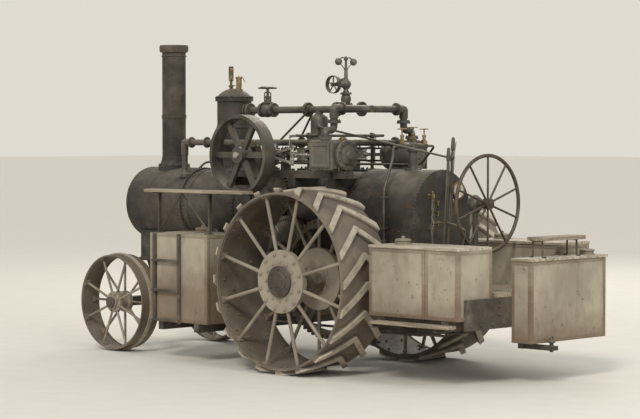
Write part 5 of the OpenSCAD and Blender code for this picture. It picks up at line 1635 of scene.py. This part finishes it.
def gear(name, centre, y, width, teeth, module, hub_r, holes=5):
    """A toothed ring on a web with ribs and a hub; its axis lies along Y."""
    pitch_r = teeth * module / 2
    tip, root, inner = pitch_r + 0.8 * module, pitch_r - 1.1 * module, pitch_r - 3.2 * module
    bpy.ops.mesh.primitive_circle_add(vertices=teeth * 4, radius=root, fill_type="NOTHING", location=(0, 0, 0))
    ring = settle(bpy.context.object, name)
    edit(ring)
    shape = bmesh.from_edit_mesh(ring.data)
    bpy.ops.mesh.select_mode(type="VERT")
    for corner in shape.verts:
        step = round(atan2(corner.co.y, corner.co.x) / (2 * pi) * teeth * 4) % 4
        corner.select_set(step in (0, 1))
    bmesh.update_edit_mesh(ring.data)
    bpy.ops.transform.resize(value=(tip / root, tip / root, 1), center_override=(0, 0, 0))
    bpy.ops.mesh.select_all(action="SELECT")
    draw_ring([(0, root), (width, root), (width, inner), (0, inner)], 0.0002)
    ring.location = (centre[0], y + width, centre[1])
    ring.rotation_euler = (radians(90), 0, 0)
    made = [settle(ring, name),
            turned("web", (centre[0], y + width * 0.35, centre[1]), LEFTWARD,
                [(0, inner + module), (width * 0.3, inner + module)], 48),
            turned("hub", (centre[0], y - 0.004, centre[1]), LEFTWARD,
                [(0, hub_r - 0.004), (0.004, hub_r), (width + 0.004, hub_r),
                (width + 0.008, hub_r - 0.004)], 28)]
    for step in range(holes):
        angle = 2 * pi * step / holes
        out = way_round(angle)
        middle = Vector((centre[0], y + width / 2, centre[1]))
        made.append(pipe("rib", [middle + out * hub_r, middle + out * (inner + module * 0.4)], width * 0.30,
            sides=3))
    return made


def gear_train():
    """Crank pinion, idler and differential gear, the housing round the countershaft and its brackets."""
    idler, differential = (0.525, 2.1316), (0.20204, 1.370)
    made = gear("pinion", (CRANK.x, CRANK.z), GEAR_Y, GEAR_W, 20, MODULE, 0.062, 0)
    made += gear("idler", idler, GEAR_Y, GEAR_W, 50, MODULE, 0.060, 6)
    apart = sqrt((idler[0] - differential[0]) ** 2 + (idler[1] - differential[1]) ** 2)
    teeth = round(2 * (apart - 0.35) / MODULE)
    made += gear("differential", differential, GEAR_Y, GEAR_W, teeth, MODULE, 0.110, 6)
    made += [turned("housing", (differential[0], -0.455, differential[1]), LEFTWARD,
                 mm((0, 80), (4, 86), (46, 86), (50, 66), (245, 65), (247, 78), (330, 78), (332, 65), (580, 65),
                 (582, 78), (665, 78), (667, 65), (855, 66), (860, 150), (920, 160), (925, 110)), 32),
             bar("bracket", (0.142, -0.220, 1.370), (0.262, 0.220, 1.560), 0.016, 2),
             turned("idler_pin", (idler[0], 0.300, idler[1]), LEFTWARD,
                 mm((0, 60), (145, 52), (147, 32), (243, 32), (245, 50), (256, 48)), 24),
             bar("idler_foot", (0.460, 0.330, 2.065), (0.590, 0.450, 2.198), 0.014, 2),
             stamp("nuts", small_nut, [((x, 0.450, z), LEFTWARD)
                 for x in both_ways(idler[0], 0.048) for z in both_ways(idler[1], 0.048)])]
    assemble("gear_works", made, gear_finish, replaced="gear_train")


# Controls and steering

GLASS_X, GLASS_Y, COCK_Y = -1.985, 0.25, 0.15
LEVER_X, LEVER_Z = -2.315, 1.10
QUADRANT_R, QUADRANT_Y = 0.74, 0.430
COLUMN_X, WHEEL_HUB_Z = -2.435, 2.06
LONG_SHAFT_Y, LONG_SHAFT_Z, CROSS_SHAFT_Z = 0.530, 0.525, 0.545
DRUM_X, DRUM_Z = 0.795, 0.700

def pressure_gauge():
    centre = Vector((-1.955, -0.20, 2.20))
    made = [turned("case", centre, BACK, mm((-32, 30), (-6, 34), (0, 80), (6, 98), (40, 98), (46, 104),
                (56, 104), (60, 98), (60, 88), (50, 86)), 40),
            pipe("siphon", [(-1.965, -0.20, 2.13), (-1.965, -0.20, 2.02), (-1.965, -0.155, 2.02),
                (-1.965, -0.155, 2.10), (-1.915, -0.155, 2.10)], 0.008, 0.03)]
    for z in (1.83, 1.95, 2.07):
        made += [turned("try_cock", (-1.925, COCK_Y, z), BACK,
                     mm((0, 18), (10, 18), (12, 10), (30, 10), (32, 15), (56, 15), (60, 6), (74, 6)), 12),
                 pipe("handle", [(-1.968, COCK_Y, z), (-1.972, 0.105, z + 0.012)], 0.005),
                 pipe("spout", [(-1.970, COCK_Y, z), (-1.988, COCK_Y, z), (-1.988, COCK_Y, z - 0.045)],
                     0.006, 0.01)]
    for z in (1.745, 2.145):
        made += [turned("arm", (-1.920, GLASS_Y, z), BACK,
                     mm((0, 26), (8, 26), (10, 15), (45, 15), (47, 22), (82, 22), (85, 12)), 14),
                 turned("cup", (GLASS_X, GLASS_Y, z - 0.030), UP,
                     mm((0, 12), (4, 19), (56, 19), (60, 12)), 14)]
    made += [turned("top", (GLASS_X, GLASS_Y, 2.175), UP, mm((0, 12), (12, 15), (28, 8)), 14),
             pipe("drain", [(GLASS_X, GLASS_Y, 1.715), (GLASS_X, GLASS_Y, 1.66)], 0.007)]
    for y in both_ways(GLASS_Y, 0.020):
        made.append(pipe("guard", [(-1.998, y, 1.745), (-1.998, y, 2.145)], 0.003))
    brass = joined("backhead_brass", made)
    fit(brass, "engine", brass_finish)
    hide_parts("backhead_fittings")
    glass = turned("water_glass", (GLASS_X, GLASS_Y, 1.765), UP,
        mm((0, 8.5), (2, 9.5), (358, 9.5), (360, 8.5)), 18)
    fit(glass, "engine", gauge_glass())
    dial = turned("gauge_dial", centre + Vector((-0.048, 0, 0)), BACK, mm((0, 84), (3, 87), (5, 86)), 40)
    fit(dial, "engine", dial_face())
    marks = []
    face, above = centre + Vector((-0.0545, 0, 0)), centre + Vector((-0.057, 0, 0))
    for step in range(13):
        angle = radians(225 - 270 * step / 12)
        out = Vector((0, cos(angle), sin(angle)))
        inner = 0.058 if step % 3 == 0 else 0.066
        marks.append(pipe("mark", [face + out * inner, face + out * 0.077], 0.0016, sides=1))
    out = Vector((0, cos(radians(140)), sin(radians(140))))
    marks += [pipe("needle", [above - out * 0.02, above + out * 0.066], 0.0022, sides=1),
              turned("pivot", centre + Vector((-0.053, 0, 0)), BACK, mm((0, 7), (6, 6), (7, 3)), 14)]
    assemble("gauge_marks", marks, engine_finish)


def lever_fittings():
    """Grips and latches on the levers, with the notched quadrant beside them."""
    made = []
    for y, top in ((0.47, 2.72), (0.39, 2.84)):
        foot = Vector((LEVER_X, y, LEVER_Z))
        head = Vector((-2.425, y, top))
        way = (head - foot).normalized()
        made += [turned("grip", head - way * 0.16, way, mm((0, 15), (10, 21), (70, 24), (130, 21), (155, 18),
                     (162, 8)), 16),
                 pipe("latch", [head - way * 0.05 + Vector((-0.045, 0, 0)),
                     head - way * 0.19 + Vector((-0.030, 0, 0)), foot + way * 0.80 + Vector((-0.026, 0, 0))],
                     0.005),
                 bar("socket", foot + Vector((-0.024, -0.022, -0.004)),
                     foot + Vector((0.020, 0.022, 0.11)), 0.006)]
    places = []
    for step in range(13):
        angle = radians(74 + 3.6 * step)
        places.append((LEVER_X + QUADRANT_R * cos(angle), QUADRANT_Y, LEVER_Z + QUADRANT_R * sin(angle)))
    made.append(pipe("quadrant", places, 0.012, sides=2))
    for place in (places[0], places[-1]):
        made.append(pipe("stay", [place, (place[0] * 0.4 + LEVER_X * 0.6, QUADRANT_Y, 1.072)], 0.011, sides=2))
    assemble("lever_fittings", made, engine_finish)


def steering_fittings():
    """The column's foot and head, the worm on the chain drum and the shaft that leads to it."""
    made = [turned("column_foot", (COLUMN_X, 0, 1.070), UP,
                mm((0, 100), (18, 98), (40, 60), (70, 46), (75, 36)), 28),
            stamp("nuts", small_nut, ring_facing(2, 1.100, 0.068, (COLUMN_X, 0), 4)),
            turned("column_head", (COLUMN_X, 0, 1.950), UP,
                mm((0, 37), (10, 50), (40, 74), (80, 86), (120, 88), (160, 74), (190, 50), (204, 30),
                (215, 14)), 28),
            turned("neck", (-2.500, 0, WHEEL_HUB_Z), BACK, mm((0, 56), (10, 56), (14, 36), (66, 36)), 24),
            turned("nut", (-2.672, 0, WHEEL_HUB_Z), BACK, mm((-2, 40), (6, 40), (8, 28), (10, 26)), 6)]
    assemble("column_fittings", made, engine_finish)
    threads = [(0.010 + 0.0145 * step, 0.030 if step % 2 else 0.021) for step in range(13)]
    made = gear("worm_wheel", (DRUM_X, DRUM_Z), 0.507, 0.046, 26, 0.0118, 0.050, 0)
    made += [turned("worm", (0.700, LONG_SHAFT_Y, LONG_SHAFT_Z), AHEAD,
                 [(0, 0.016)] + threads + [(0.190, 0.016)], 20),
             pipe("long_shaft", [(COLUMN_X, LONG_SHAFT_Y, LONG_SHAFT_Z), (0.925, LONG_SHAFT_Y, LONG_SHAFT_Z)],
                 0.016, sides=4),
             pipe("cross_shaft", [(COLUMN_X, LONG_SHAFT_Y, CROSS_SHAFT_Z), (COLUMN_X, 0, CROSS_SHAFT_Z),
                 (COLUMN_X, 0, 1.03)], 0.016, 0.03, 4)]
    for x in (-2.025, -0.915, 0.90):
        made.append(turned("bearing", (x - 0.03, LONG_SHAFT_Y, LONG_SHAFT_Z), AHEAD,
            mm((0, 28), (4, 32), (56, 32), (60, 28)), 20))
    made += [bar("hanger", (-2.050, 0.515, 0.540), (-2.000, 0.545, 0.672), 0.004),
             pipe("hanger", [(-0.915, LONG_SHAFT_Y, 0.545), (-0.915, 0.470, 0.600)], 0.014),
             pipe("hanger", [(0.895, LONG_SHAFT_Y, 0.545), (0.850, 0.470, 0.620),
                 (0.800, 0.455, 0.700)], 0.014)]
    for y in (-0.34, -0.20, -0.06, 0.08, 0.22, 0.36):
        made.append(hoop("groove", (DRUM_X, y, DRUM_Z), LEFTWARD, 0.070, 0.064, 0.012, 32))
    assemble("steering_shaft", made, frame_finish)


def controls():
    pressure_gauge()
    lever_fittings()
    steering_fittings()


def wheels():
    for side, word in SIDES:
        drive_wheel_bolts(side, word)
        front_wheel_bolts(side, word)
    gear_train()


add_camera()
add_world()
add_lamps()
add_floor()

dress_nodes()
boiler_rivets()
smokebox_rivets()
firebox_rivets()
all_tank_strips()
all_fillers()
platform()
engine()
boiler_top()
wheels()
controls()
steering_chain()

for master in masters:
    bpy.data.objects.remove(master)

scene = bpy.context.scene
scene.view_settings.view_transform = "Standard"
